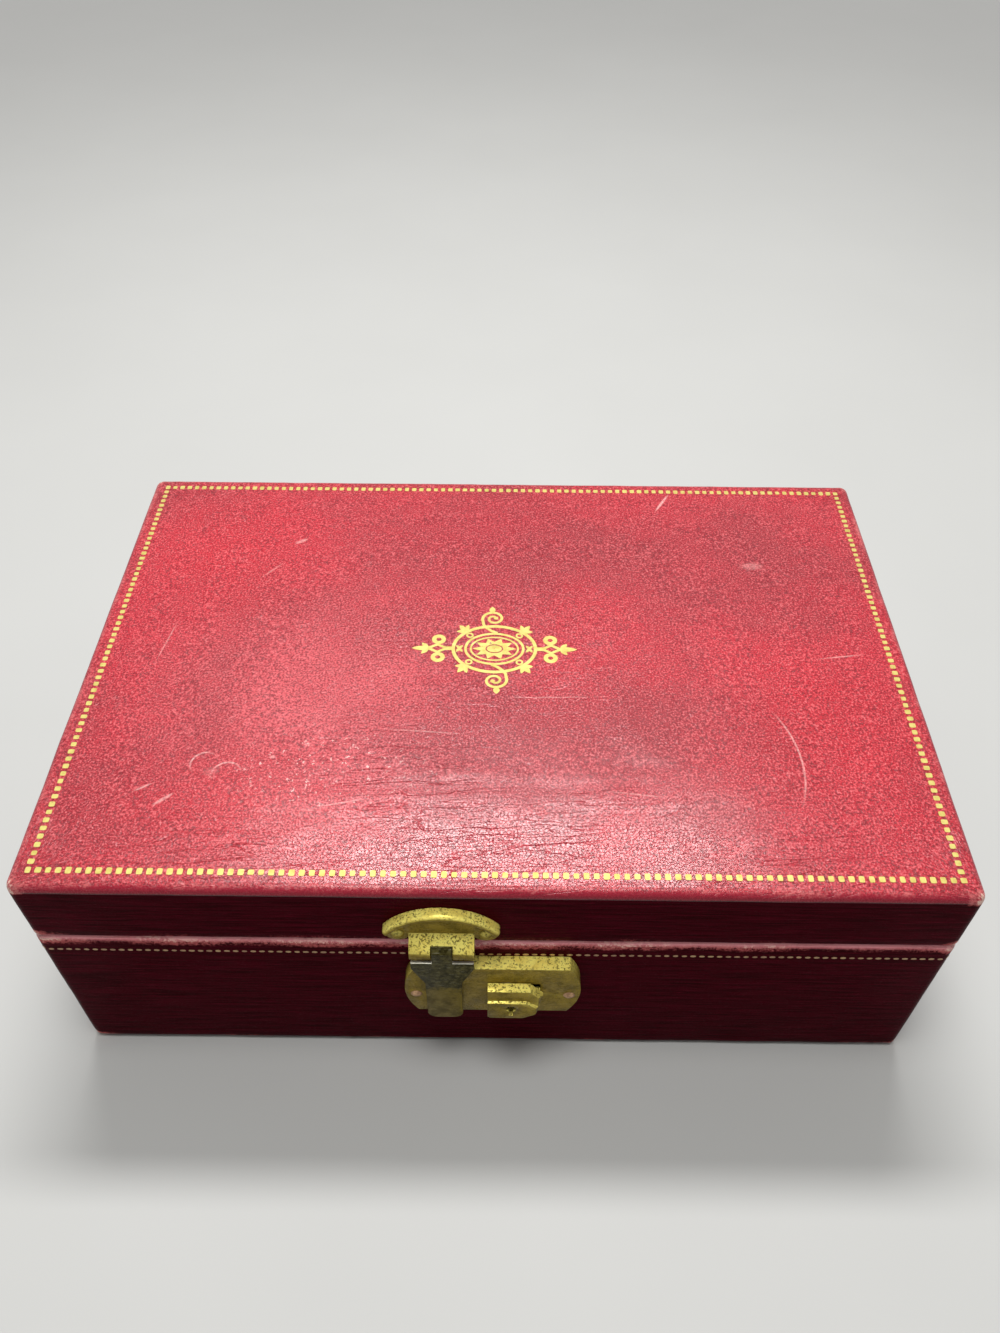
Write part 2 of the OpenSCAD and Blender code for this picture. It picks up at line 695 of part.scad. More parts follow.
module hasp() {
  neck_z = lid_z - 3;
  nose_z = keeper_top_z + 0.3;
  color("darkolivegreen") difference() {
    union() {
      on_front(hasp_x, 0, hasp_out) linear_extrude(hasp_t) hasp_outline();
      side_form(hasp_x - hasp_neck_w / 2, hasp_neck_w, [
        [hasp_out, neck_z - 1], [hasp_out + hasp_t, neck_z - 1], [hasp_out + hasp_t, nose_z - 0.6],
        [hasp_out - 0.5, nose_z + 0.9], [hasp_out - 1.9, nose_z + 0.9], [hasp_out - 1.9, nose_z],
        [hasp_out, nose_z]
      ]);
      translate([hasp_x - 3, front_y - hasp_pivot_out, hasp_pivot_z]) rotate([0, 90, 0])
        cylinder(r = hasp_knuckle_r, h = 3.8);
      // Lug with a foot behind the bolt's nose
      side_form(hasp_x + 1, 1.2, [
        [1.2, lug_z - 1.2], [hasp_out + 0.2, lug_z - 1.2], [hasp_out + 0.2, lug_z + 1.2], [1.2, lug_z + 1.2]
      ]);
      side_form(hasp_x + 1, 3.6, [
        [1.2, lug_z - 1.2], [bolt_out - 0.2, lug_z - 1.2], [bolt_out - 0.2, lug_z + 1.2], [1.2, lug_z + 1.2]
      ]);
    }
    on_hasp_pin() cylinder(r = hasp_pin_r + run_fit, h = hasp_stem_w, center = true);
  }
}

module knob_upper_outline() {
  polygon([
    [-knob_w / 2, -2], [knob_w / 2 - 1.2, -2], [knob_w / 2, knob_step_z],
    [knob_w / 2 - 4, knob_h / 2], [-knob_w / 2, knob_h / 2]
  ]);
}

module knob_lower_outline() {
  polygon([
    [-knob_w / 2, -knob_h / 2 + 0.8], [-knob_w / 2 + 0.8, -knob_h / 2], [knob_w / 2 - 6, -knob_h / 2],
    [knob_w / 2 - 2.6, -knob_h / 2 + 2.2], [knob_w / 2 - 0.8, -knob_h / 2 + 5.4], [knob_w / 2 - 5, knob_step_z],
    [-knob_w / 2, knob_step_z]
  ]);
}

module slide_knob() {
  color("gold") on_front(knob_x, knob_z, knob_out) difference() {
    union() {
      linear_extrude(knob_depth - knob_step_d) knob_upper_outline();
      linear_extrude(knob_depth) knob_lower_outline();
    }
    // Sloping upper face
    translate([-knob_w, knob_h / 2, knob_depth * 0.25]) rotate([-48, 0, 0]) cube([2 * knob_w, knob_h, knob_h]);
    // Sloping facet on the right
    translate([knob_w / 2, 0, knob_depth * 0.3]) rotate([0, -38, 0])
      translate([0, -knob_h, 0]) cube([knob_w, 2 * knob_h, knob_w]);
    translate([keyhole_x, keyhole_z, -1]) cylinder(r = cam_r + 0.1, h = knob_depth);
    translate([keyhole_x, keyhole_z, 0]) cylinder(r = keyhole_r, h = knob_depth + 1);
    translate([keyhole_x - 0.6, keyhole_z - 4, 0.8]) cube([1.2, 4, knob_depth]);
  }
}

module lock_cam() {
  color("dimgray") on_front(knob_x + keyhole_x, knob_z + keyhole_z, knob_out) difference() {
    cylinder(r = cam_r, h = knob_depth - 1.4);
    translate([-0.5, -cam_r - 1, 0.6]) cube([1, 2 * cam_r + 2, knob_depth]);
  }
}

module latch_bolt() {
  color("silver") {
    on_front(0, 0, bolt_out) linear_extrude(bolt_t) {
      translate([bolt_x0, lug_z - 1]) square([bolt_neck_x + bolt_neck_w - bolt_x0, 2]);
      translate([bolt_neck_x, bolt_neck_z]) square([bolt_neck_w, lug_z + 1 - bolt_neck_z]);
      translate([bolt_neck_x, knob_spring_z - 1.6])
        square([bolt_neck_w, bolt_neck_z - knob_spring_z + 2]);
      translate([bolt_neck_x, knob_spring_z - 1.6]) square([knob_spring_x0 - bolt_neck_x, 3.2]);
    }
    on_front(bolt_neck_x, bolt_neck_z, bolt_out) cube([bolt_neck_w, bolt_neck_h, knob_out - bolt_out]);
  }
}

module knob_spring() {
  color("dimgray") translate([knob_spring_x0 + 0.3, front_y - knob_spring_out, knob_spring_z]) rotate([0, 90, 0])
    coil_spring(0.9, 0.2, 6, knob_spring_x1 - knob_spring_x0 - 0.6);
}

module catch_outline() {
  intersection() {
    translate([0, catch_top_z - catch_radius]) circle(catch_radius);
    translate([-catch_w / 2, catch_tip_z]) square([catch_w, catch_arch + 1]);
  }
  translate([-catch_w / 2 + 0.6, lobe_z]) square([catch_w - 1.2, catch_tip_z - lobe_z]);
  for (x = [-1, 1]) translate([x * lobe_x, lobe_z]) circle(lobe_r);
  translate([-tongue_w / 2, catch_low_z]) square([tongue_w, lobe_z - catch_low_z + 1]);
}

module catch_plate() {
  ramp_top_z = lobe_z + 0.2;
  lip_z = lid_z + 2;
  lip_low_z = lid_z - 0.7;
  lip_in = tongue_reach - 1;
  color("gold") difference() {
    union() {
      on_front(hasp_x, 0, 0) linear_extrude(catch_t) catch_outline();
      on_front(hasp_x, catch_top_z - catch_radius, 0) rotate([0, 0, 90 - catch_half_angle])
        rotate_extrude(angle = 2 * catch_half_angle) {
          translate([catch_radius - catch_rim_w, 0]) square([catch_rim_w, 2.2]);
          translate([catch_radius - catch_rim_w / 2, 2.2]) circle(catch_rim_w / 2);
        }
      difference() {
        side_form(hasp_x - tongue_w / 2, tongue_w, [
          [0, ramp_top_z + 1], [catch_t + 0.3, ramp_top_z], [tongue_reach - 0.2, lip_z + 0.4], [tongue_reach, lip_z],
          [tongue_reach, lip_low_z], [lip_in, lip_low_z], [lip_in, lip_z - 0.3], [catch_t, ramp_top_z - 1.4],
          [0, ramp_top_z - 1.4]
        ]);
        translate([hasp_x - notch_w / 2, front_y - 20, lip_low_z - 1])
          cube([notch_w, 20 - catch_t, notch_top_z - lip_low_z + 1]);
      }
      for (x = [-tongue_w / 2, tongue_w / 2 - 0.9]) side_form(hasp_x + x, 0.9, [
        [0, ramp_top_z], [catch_t, ramp_top_z - 0.5], [lip_in + 0.5, lip_z], [lip_in + 0.5, lip_low_z],
        [lip_in, lip_low_z], [0, catch_low_z]
      ]);
      // Keeper under the hasp's nose
      translate([hasp_x - notch_w / 2, front_y - hasp_out + 0.9, catch_low_z])
        cube([notch_w, hasp_out - 0.9, keeper_top_z - catch_low_z]);
    }
    at_catch_rivets(-1) cylinder(r = latch_rivet_r, h = 4 * catch_t);
  }
}

module at_catch_rivets(out) {
  for (x = [-1, 1]) on_front(hasp_x + x * lobe_x, lobe_z, out) children();
}

module catch_rivet_bores() {
  at_catch_rivets(-leather_t - rivet_grip) cylinder(r = latch_rivet_r, h = leather_t + rivet_grip + 1);
}

module catch_rivets() {
  color("gold") at_catch_rivets(-leather_t - rivet_grip) {
    cylinder(r = latch_rivet_r, h = leather_t + rivet_grip + catch_t);
    translate([0, 0, leather_t + rivet_grip + catch_t]) dome(2, 1.3);
  }
}

// The musical movement, on a bedplate that stands against the rear wall

// Height of a tooth over the pitch circle, in tooth sizes
tooth_height = 0.8;
bedplate_x = bay_x + music_bay_w / 2;
bedplate_front_y = room_d / 2 - bedplate_t;
arbor_x = bay_x + 25;
arbor_hole_r = arbor_r + 0.6;
barrel_back_y = bedplate_front_y - 2.4;
barrel_front_y = barrel_back_y - barrel_d;
crown_r = crown_teeth * crown_module / 2;
pinion_r = pinion_teeth * crown_module / 2;
crown_tooth_h = 2 * crown_module;
shaft_y = barrel_front_y - crown_tooth_h / 2 - pinion_r;
shaft_z = arbor_z;
shaft_r = 1;
pinion_x = arbor_x + crown_r;
pinion_l = 1.8;
bracket_t = 1;
bracket_x = arbor_x + barrel_r + 0.5;
tune_x = bracket_x + bracket_t + 0.7;
far_bracket_x = tune_x + tune_l + 0.7;
wheel_x = far_bracket_x + bracket_t + 0.6;
wheel_t = 1.5;
wheel_r = wheel_teeth * train_module / 2;
leaf_r = leaf_teeth * train_module / 2;
leaf_z = shaft_z + wheel_r + leaf_r;
leaf_arbor_r = 0.7;
worm_wheel_x = wheel_x + wheel_t + 1.7;
worm_wheel_r = worm_wheel_teeth * train_module / 2;
worm_r = 1.15;
fly_x = worm_wheel_x + wheel_t / 2;
fly_y = shaft_y - worm_wheel_r - tooth_height * train_module - worm_r - 0.15;
fly_arbor_r = 0.5;
fly_z = leaf_z + worm_wheel_r + 0.6;
frame_x = fly_x + fly_span / 2 + 0.7;
frame_low_z = leaf_z - worm_wheel_r - 1.2;
frame_top_z = fly_z + fly_h + 1.2;
frame_arm_t = 1.2;
// The cover lies over the movement, whatever the height of the case
cover_clear = 2.7;
cover_z = frame_top_z + frame_arm_t + cover_clear;
stop_wire_r = 0.9;
stop_x = fly_x;
stop_fly_gap = 4.6;
stop_y = fly_y - fly_span / 2 - stop_fly_gap;
stop_top_z = lid_panel_z - 0.3;
pin_rise = 0.6;
comb_gap = 0.4;
comb_t = 1.2;
comb_tip_z = shaft_z - tune_r - pin_rise - comb_gap;
comb_root_z = comb_tip_z - 8.2;
comb_low_z = room_z + 0.5;

module along_y(x, y, z) { translate([x, y, z]) rotate([90, 0, 0]) children(); }
module along_x(x, y, z) { translate([x, y, z]) rotate([90, 0, 90]) children(); }

module arbor_hole(r) {
  along_y(arbor_x, case_d, arbor_z) cylinder(r = r, h = case_d / 2 + wall_t + 2 * bedplate_t);
}

// Screws through the bedplate into the rear wall
bedplate_screw_r = 1.2;
module bedplate_screw_places() {
  for (x = [-1, 1], z = [-1, 1])
    along_y(bedplate_x + x * (bedplate_w / 2 - 4), bedplate_front_y, arbor_z + z * (bedplate_h / 2 - 4))
      children();
}

module bedplate_screw_holes() {
  bedplate_screw_places() translate([0, 0, -bedplate_t - lining_t - wall_t + 1])
    cylinder(r = bedplate_screw_r, h = bedplate_t + lining_t + wall_t);
}

module bedplate() {
  color("silver") difference() {
    translate([bedplate_x - bedplate_w / 2, bedplate_front_y, arbor_z - bedplate_h / 2])
      cube([bedplate_w, bedplate_t, bedplate_h]);
    along_y(arbor_x, case_d, arbor_z) cylinder(r = arbor_r + run_fit, h = case_d);
    bedplate_screw_holes();
  }
}

module bedplate_screws() {
  color("lightgray") bedplate_screw_places() {
    translate([0, 0, -bedplate_t - lining_t - wall_t + 1])
      cylinder(r = bedplate_screw_r, h = bedplate_t + lining_t + wall_t - 1);
    cylinder(r = 2.2, h = 1.2);
  }
}

// Wheel outline with straight sided teeth; slim teeth leave room to run
module toothed(teeth, size, turn = 0) {
  pitch = 360 / teeth;
  tip_r = size * (teeth / 2 + tooth_height);
  root_r = size * (teeth / 2 - tooth_height - 0.3);
  rotate(turn) polygon([for (i = [0:teeth - 1]) each [
    root_r * [cos((i - 0.27) * pitch), sin((i - 0.27) * pitch)],
    tip_r * [cos((i - 0.09) * pitch), sin((i - 0.09) * pitch)],
    tip_r * [cos((i + 0.09) * pitch), sin((i + 0.09) * pitch)],
    root_r * [cos((i + 0.27) * pitch), sin((i + 0.27) * pitch)]
  ]]);
}

key_gap = 1;
key_hub_l = 7;
key_hub_r = 3.6;
key_overlap = 1.5;
key_wing_t = 1.6;
key_loop_r = 5;
key_loop_hole_r = 2;
arbor_end_y = back_y + key_gap + key_hub_l - 2;

module winding_key() {
  hub_y = back_y + key_gap;
  wing_z = key_wing_w / 2;
  loop_x = key_reach - key_hub_l - key_gap + key_overlap - key_loop_r;
  color("silver") {
    difference() {
      along_y(arbor_x, hub_y + key_hub_l, arbor_z) cylinder(r = key_hub_r, h = key_hub_l);
      along_y(arbor_x, arbor_end_y, arbor_z) cylinder(r = arbor_r, h = key_hub_l);
    }
    translate([arbor_x, hub_y + key_hub_l - key_overlap, arbor_z]) rotate([0, 0, 90]) rotate([90, 0, 0])
      linear_extrude(key_wing_t, center = true) difference() {
        union() {
          translate([0, -key_hub_r + 1]) square([loop_x, 2 * key_hub_r - 2]);
          for (z = [-1, 1]) translate([loop_x, z * (wing_z - key_loop_r)]) circle(key_loop_r);
          translate([1, key_loop_r - wing_z]) square([loop_x - 1, key_wing_w - 2 * key_loop_r]);
        }
        for (z = [-1, 1]) translate([loop_x, z * (wing_z - key_loop_r)]) circle(key_loop_hole_r);
      }
  }
}

ratchet_teeth = 14;
ratchet_r = 5;
module winding_arbor() {
  arbor_start_y = barrel_front_y - 0.8;
  color("silver") {
    along_y(arbor_x, arbor_end_y, arbor_z) cylinder(r = arbor_r, h = arbor_end_y - arbor_start_y);
    along_y(arbor_x, bedplate_front_y - 0.4, arbor_z) linear_extrude(1.4)
      polygon([for (i = [0:ratchet_teeth - 1]) each [
        ratchet_r * [cos(i * 360 / ratchet_teeth), sin(i * 360 / ratchet_teeth)],
        (ratchet_r - 0.9) * [cos(i * 360 / ratchet_teeth + 3), sin(i * 360 / ratchet_teeth + 3)]
      ]]);
  }
}

module ratchet_click() {
  color("lightgray") {
    along_y(arbor_x - 9, bedplate_front_y, arbor_z + 7) cylinder(r = 1.4, h = 2.2);
    along_y(arbor_x, bedplate_front_y - 0.4, arbor_z) linear_extrude(1.2) polygon([
      [-10.2, 7.6], [-8.2, 8.3], [-3.4, ratchet_r + 0.5], [-3.8, ratchet_r - 0.4], [-9.6, 6]
    ]);
  }
}

module spring_barrel() {
  color("goldenrod") difference() {
    along_y(arbor_x, barrel_back_y, arbor_z) {
      cylinder(r = barrel_r, h = barrel_d);
      for (i = [0:crown_teeth - 1]) rotate(i * 360 / crown_teeth)
        translate([crown_r - 1.1, 0, barrel_d - 0.1]) rotate([90, 0, 90]) linear_extrude(2.2) polygon([
          [-0.25 * PI * crown_module, 0], [0.25 * PI * crown_module, 0],
          [0.09 * PI * crown_module, crown_tooth_h + 0.1], [-0.09 * PI * crown_module, crown_tooth_h + 0.1]
        ]);
    }
    along_y(arbor_x, barrel_back_y + 1, arbor_z) cylinder(r = barrel_r - 1, h = barrel_d - 0.5);
    along_y(arbor_x, case_d, arbor_z) cylinder(r = arbor_r + run_fit, h = 2 * case_d);
  }
}

module mainspring() {
  coils = 6;
  inner_r = arbor_r + 0.6;
  outer_r = barrel_r - 1.2;
  strip_t = 0.3;
  steps = coils * 20;
  function spiral_r(i) = inner_r + (outer_r - inner_r) * i / steps;
  color("dimgray") along_y(arbor_x, barrel_back_y - 0.6, arbor_z) linear_extrude(barrel_d - 2.4)
    polygon(concat(
      [for (i = [0:steps]) spiral_r(i) * [cos(18 * i), sin(18 * i)]],
      [for (i = [steps:-1:0]) (spiral_r(i) - strip_t) * [cos(18 * i), sin(18 * i)]]
    ));
}

module cylinder_shaft() {
  color("silver") along_x(pinion_x - 2, shaft_y, shaft_z) cylinder(r = shaft_r, h = wheel_x + wheel_t + 0.6 - pinion_x + 2);
}

module cylinder_pinion() {
  color("goldenrod") along_x(pinion_x - pinion_l / 2, shaft_y, shaft_z) difference() {
    linear_extrude(pinion_l) toothed(pinion_teeth, crown_module, 180 / pinion_teeth);
    translate([0, 0, -1]) cylinder(r = shaft_r, h = pinion_l + 2);
  }
}

module cylinder_wheel() {
  color("goldenrod") along_x(wheel_x, shaft_y, shaft_z) difference() {
    linear_extrude(wheel_t) toothed(wheel_teeth, train_module);
    translate([0, 0, -1]) cylinder(r = shaft_r, h = wheel_t + 2);
  }
}

// Cylinder with four rows of tune pins for each tooth of the comb
module tune_cylinder() {
  tooth_pitch = tune_l / (comb_teeth + 1);
  color("gold") along_x(tune_x, shaft_y, shaft_z) {
    difference() {
      cylinder(r = tune_r, h = tune_l);
      translate([0, 0, -1]) cylinder(r = shaft_r, h = tune_l + 2);
    }
    for (i = [1:comb_teeth], k = [0:2]) rotate((i * 67 + k * 131) % 360)
      translate([tune_r - 0.3, -0.2, i * tooth_pitch - 0.2]) cube([pin_rise + 0.3, 0.4, 0.4]);
  }
}

module cylinder_brackets() {
  color("silver") difference() {
    union() {
      translate([bracket_x, shaft_y - 3.2, shaft_z - 4]) cube([bracket_t, bedplate_front_y - shaft_y + 3.2, 8]);
      translate([far_bracket_x, shaft_y - 3.2, shaft_z - 4])
        cube([bracket_t, bedplate_front_y - shaft_y + 3.2, leaf_z - shaft_z + 7]);
    }
    along_x(0, shaft_y, shaft_z) cylinder(r = shaft_r + run_fit, h = case_w);
    along_x(0, shaft_y, leaf_z) cylinder(r = leaf_arbor_r + run_fit, h = case_w);
  }
}

comb_w = tune_l - 0.6;
comb_x = tune_x + 0.3;
comb_front_y = shaft_y - comb_t / 2;
module comb_screw_places() {
  for (x = [0.22, 0.78])
    along_y(comb_x + x * comb_w, comb_front_y, (comb_low_z + comb_root_z) / 2) children();
}

module comb_seat() {
  color("silver") difference() {
    translate([comb_x, comb_front_y + comb_t, comb_low_z])
      cube([comb_w, bedplate_front_y - comb_front_y - comb_t, comb_root_z - comb_low_z]);
    comb_screw_places() translate([0, 0, -5]) cylinder(r = 0.9, h = 6);
  }
}

module tone_comb() {
  tooth_pitch = tune_l / (comb_teeth + 1);
  color("lightsteelblue") difference() {
    translate([comb_x, comb_front_y, comb_low_z]) cube([comb_w, comb_t, comb_tip_z - comb_low_z]);
    for (i = [0:comb_teeth]) translate([tune_x + (i + 0.5) * tooth_pitch - 0.15, comb_front_y - 1, comb_root_z])
      cube([0.3, comb_t + 2, 20]);
    comb_screw_places() translate([0, 0, -5]) cylinder(r = 0.9, h = 6);
  }
}

module comb_screws() {
  color("steelblue") comb_screw_places() {
    translate([0, 0, -4.5]) cylinder(r = 0.9, h = 4.5);
    cylinder(r = 1.9, h = 1);
  }
}

module governor_frame() {
  arm_x = fly_x - 2;
  arm_y = stop_y - 2;
  color("silver") difference() {
    union() {
      translate([frame_x, arm_y, frame_low_z])
        cube([frame_arm_t, bedplate_front_y - arm_y, frame_top_z + frame_arm_t - frame_low_z]);
      for (z = [frame_low_z, frame_top_z])
        translate([arm_x, arm_y, z]) cube([frame_x - arm_x + 0.5, fly_y + 2 - arm_y, frame_arm_t]);
    }
    along_x(0, shaft_y, leaf_z) cylinder(r = leaf_arbor_r + run_fit, h = case_w);
    translate([fly_x, fly_y, 0]) cylinder(r = fly_arbor_r + run_fit, h = seam_z);
    translate([stop_x, stop_y, 0]) cylinder(r = stop_wire_r + run_fit, h = seam_z);
  }
}

module governor_arbor() {
  start_x = far_bracket_x - 0.3;
  color("silver") {
    along_x(start_x, shaft_y, leaf_z) cylinder(r = leaf_arbor_r, h = frame_x + frame_arm_t - start_x);
    along_x(wheel_x - 0.1, shaft_y, leaf_z) linear_extrude(wheel_t + 0.2) toothed(leaf_teeth, train_module);
  }
}

module governor_wheel() {
  color("goldenrod") along_x(worm_wheel_x, shaft_y, leaf_z) difference() {
    linear_extrude(wheel_t) toothed(worm_wheel_teeth, train_module);
    translate([0, 0, -1]) cylinder(r = leaf_arbor_r, h = wheel_t + 2);
  }
}

module governor_worm() {
  lead = PI * train_module;
  worm_l = 6;
  color("silver") translate([fly_x, fly_y, 0]) {
    translate([0, 0, frame_low_z + 0.2]) cylinder(r = fly_arbor_r, h = frame_top_z + frame_arm_t - frame_low_z - 0.4);
    translate([0, 0, leaf_z - worm_l / 2])
      linear_extrude(worm_l, twist = -360 * worm_l / lead, slices = 50, segments = 10)
        translate([0.25, 0]) circle(worm_r - 0.25, $fn = 10);
  }
}

module fly_vanes() {
  color("gold") translate([fly_x, fly_y, fly_z]) difference() {
    union() {
      cylinder(r = 1.2, h = fly_h);
      translate([-fly_span / 2, -0.4, 0]) cube([fly_span, 0.8, fly_h]);
    }
    translate([0, 0, -1]) cylinder(r = fly_arbor_r, h = fly_h + 2);
  }
}

stop_collar_drop = 5.5;
stop_foot_drop = 4.5;
stop_collar_z = fly_z - stop_collar_drop;
module stop_wire() {
  color("silver") {
    translate([stop_x, stop_y, frame_low_z - stop_foot_drop])
      cylinder(r = stop_wire_r, h = stop_top_z - frame_low_z + stop_foot_drop);
    translate([stop_x, stop_y, stop_collar_z]) cylinder(r = 2.4, h = 1);
    translate([stop_x - 0.8, stop_y, fly_z + fly_h / 2 - 1.6])
      cube([1.6, fly_y - fly_span / 2 - 0.3 - stop_y, 1.6]);
  }
}

module stop_spring() {
  low = frame_low_z + frame_arm_t;
  color("dimgray") translate([stop_x, stop_y, low + 0.25]) coil_spring(1.6, 0.25, 5, stop_collar_z - low - 0.5);
}

bottom_board();
base_carcass();
base_leather();
base_lining();
long_partition();
cross_partitions();
ring_riser();
ring_rolls();
music_cover();
hinge_base_leaves();
hinge_pins();
hinge_base_screws();
lock_plate();
lock_shell();
lock_rivets();
hasp_pin();
hasp_spring();
knob_spring();
bedplate();
bedplate_screws();
cylinder_brackets();
comb_seat();
tone_comb();
comb_screws();
governor_frame();
ratchet_click();
stop_spring();
lid_carcass();
lid_wadding();
lid_leather();
lid_lining();
mirror_frame();
mirror_glass();
hinge_lid_leaves();
hinge_lid_screws();
catch_plate();
catch_rivets();
hasp();
slide_knob();
latch_bolt();
lock_cam();
winding_key();
winding_arbor();
spring_barrel();
mainspring();
tune_cylinder();
cylinder_shaft();
cylinder_pinion();
cylinder_wheel();
governor_arbor();
governor_wheel();
governor_worm();
fly_vanes();
stop_wire();
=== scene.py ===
import math

import bmesh
import bpy
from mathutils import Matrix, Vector, noise
from mathutils.bvhtree import BVHTree


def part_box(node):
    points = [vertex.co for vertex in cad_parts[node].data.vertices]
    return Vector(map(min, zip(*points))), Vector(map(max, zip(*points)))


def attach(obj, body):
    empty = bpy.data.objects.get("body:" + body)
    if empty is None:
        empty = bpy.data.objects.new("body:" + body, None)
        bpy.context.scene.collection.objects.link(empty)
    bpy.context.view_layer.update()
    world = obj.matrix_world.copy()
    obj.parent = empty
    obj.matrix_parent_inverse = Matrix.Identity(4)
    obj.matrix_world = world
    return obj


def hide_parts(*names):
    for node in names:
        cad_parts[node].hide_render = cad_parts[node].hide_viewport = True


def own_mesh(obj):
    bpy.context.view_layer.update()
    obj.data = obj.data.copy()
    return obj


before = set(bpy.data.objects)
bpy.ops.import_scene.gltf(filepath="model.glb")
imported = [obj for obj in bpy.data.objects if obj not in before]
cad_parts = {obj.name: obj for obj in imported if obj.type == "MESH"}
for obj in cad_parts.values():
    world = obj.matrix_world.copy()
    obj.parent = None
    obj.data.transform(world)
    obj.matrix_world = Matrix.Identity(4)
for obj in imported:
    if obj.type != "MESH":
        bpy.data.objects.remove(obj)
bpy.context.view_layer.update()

MM = 0.001

# The camera stands in front of the box and looks down on it from its own
# height above the table. Its place and lens are the photograph's.
camera = bpy.data.objects.new("camera", bpy.data.cameras.new("camera"))
bpy.context.scene.collection.objects.link(camera)
camera.location = (0.002141, -0.238785, 0.339128)
camera.rotation_euler = [math.radians(turn) for turn in (43.1704, -0.2097, 0.6202)]
camera.data.sensor_fit = "VERTICAL"
camera.data.sensor_height = 36
camera.data.lens = 28.594
camera.data.clip_start = 0.01
bpy.context.scene.camera = camera

# Colours are shown as they are mixed
bpy.context.scene.view_settings.view_transform = "Standard"


def put(kind, settings=(), out=0, tree=None, **inputs):
    """Adds a node to the given tree, or to the tree of what feeds it, and returns one of its outputs.

    An input is named by its words, or by i and its number.
    """
    if tree is None:
        tree = next(value.id_data for value in inputs.values() if isinstance(value, bpy.types.NodeSocket))
    made = tree.nodes.new(kind)
    for key, value in dict(settings).items():
        setattr(made, key, value)
    for key, value in inputs.items():
        numbered = key[0] == "i" and key[1:].isdigit()
        socket = made.inputs[int(key[1:]) if numbered else key.replace("_", " ")]
        if isinstance(value, bpy.types.NodeSocket):
            tree.links.new(value, socket)
        else:
            socket.default_value = value
    return made.outputs[out]


def calc(operation, a, b=0.0):
    return put("ShaderNodeMath", {"operation": operation}, i0=a, i1=b)


def times(first, *others):
    """The product of all its values."""
    for other in others:
        first = calc("MULTIPLY", first, other)
    return first


def gap(value, level):
    """How far a value is from a level, either way."""
    return calc("ABSOLUTE", calc("SUBTRACT", value, level))


def reach_of(coords):
    """How far a point lies from the middle of its coordinates."""
    return put("ShaderNodeVectorMath", {"operation": "LENGTH"}, "Value", i0=coords)


def axes(vector):
    """The three parts of a vector, by the names X, Y and Z."""
    return put("ShaderNodeSeparateXYZ", i0=vector).node.outputs


def span(value, low, high, to_low=0.0, to_high=1.0):
    """Maps low..high to to_low..to_high with soft ends."""
    return put("ShaderNodeMapRange", {"interpolation_type": "SMOOTHSTEP"},
               Value=value, From_Min=low, From_Max=high, To_Min=to_low, To_Max=to_high)


def tint(factor, a, b):
    """Colour a where the factor is 0, turning to colour b where it is 1."""
    a, b = [(*colour, 1) if isinstance(colour, tuple) else colour for colour in (a, b)]
    return put("ShaderNodeMix", {"data_type": "RGBA"}, 2, i0=factor, i6=a, i7=b)


def grain(coords, size, detail=3.0, rough=0.55):
    """Noise whose features are about size across, in metres."""
    return put("ShaderNodeTexNoise", Vector=coords, Scale=1 / size, Detail=detail, Roughness=rough)


def stretched(coords, scale):
    return put("ShaderNodeMapping", Vector=coords, Scale=scale)


def relief(height, depth):
    """Raises the surface by its height times depth, in metres."""
    return put("ShaderNodeBump", Height=height, Distance=depth, Strength=1.0)


def new_finish(name, **sockets):
    """A material with one shader, whose plain values are set on its own sockets.

    It comes back with its shader and with the coordinates of the piece that wears it.
    """
    made = bpy.data.materials.new(name)
    made.use_nodes = True
    shader = made.node_tree.nodes["Principled BSDF"]
    for key, value in sockets.items():
        socket = shader.inputs[key.replace("_", " ")]
        socket.default_value = (*value, 1) if socket.type == "RGBA" else value
    return made, shader, put("ShaderNodeTexCoord", (), "Object", made.node_tree)


def wire(shader, **sockets):
    for key, value in sockets.items():
        shader.id_data.links.new(value, shader.inputs[key.replace("_", " ")])


def make_object(name, source, finishes, smooth=True):
    """A scene object from a bmesh, at the origin."""
    data = bpy.data.meshes.new(name)
    source.to_mesh(data)
    source.free()
    made = bpy.data.objects.new(name, data)
    bpy.context.scene.collection.objects.link(made)
    for one in finishes:
        data.materials.append(one)
    data.polygons.foreach_set("use_smooth", [smooth] * len(data.polygons))
    return made


# The table is one pale matt sheet under two wide soft lamps. One hangs behind
# the box, so that its gloss falls on the lid's front slope, and one over it.
room_colour, room_seen, room_lit = (1, 0.99, 0.97, 1), 0.68, 0.26
table_finish, shader, spots = new_finish("table_finish", Roughness=0.7)
wire(shader, Base_Color=tint(grain(spots, 0.15), (0.45, 0.45, 0.435), (0.49, 0.49, 0.475)))
# Far from the box the sheet fades into the pale room, so no edge shows
fade_start, fade_end = 0.5, 2.4
tree = table_finish.node_tree
seen = put("ShaderNodeLightPath", (), "Is Camera Ray", tree)
faded = times(span(reach_of(spots), fade_start, fade_end), seen)
room_glow = put("ShaderNodeEmission", tree=tree, Color=room_colour, Strength=room_seen)
tree.links.new(put("ShaderNodeMixShader", i0=faded, i1=shader.outputs[0], i2=room_glow),
               tree.nodes["Material Output"].inputs["Surface"])
sheet = bmesh.new()
bmesh.ops.create_grid(sheet, x_segments=4, y_segments=4, size=5)
make_object("table", sheet, [table_finish])

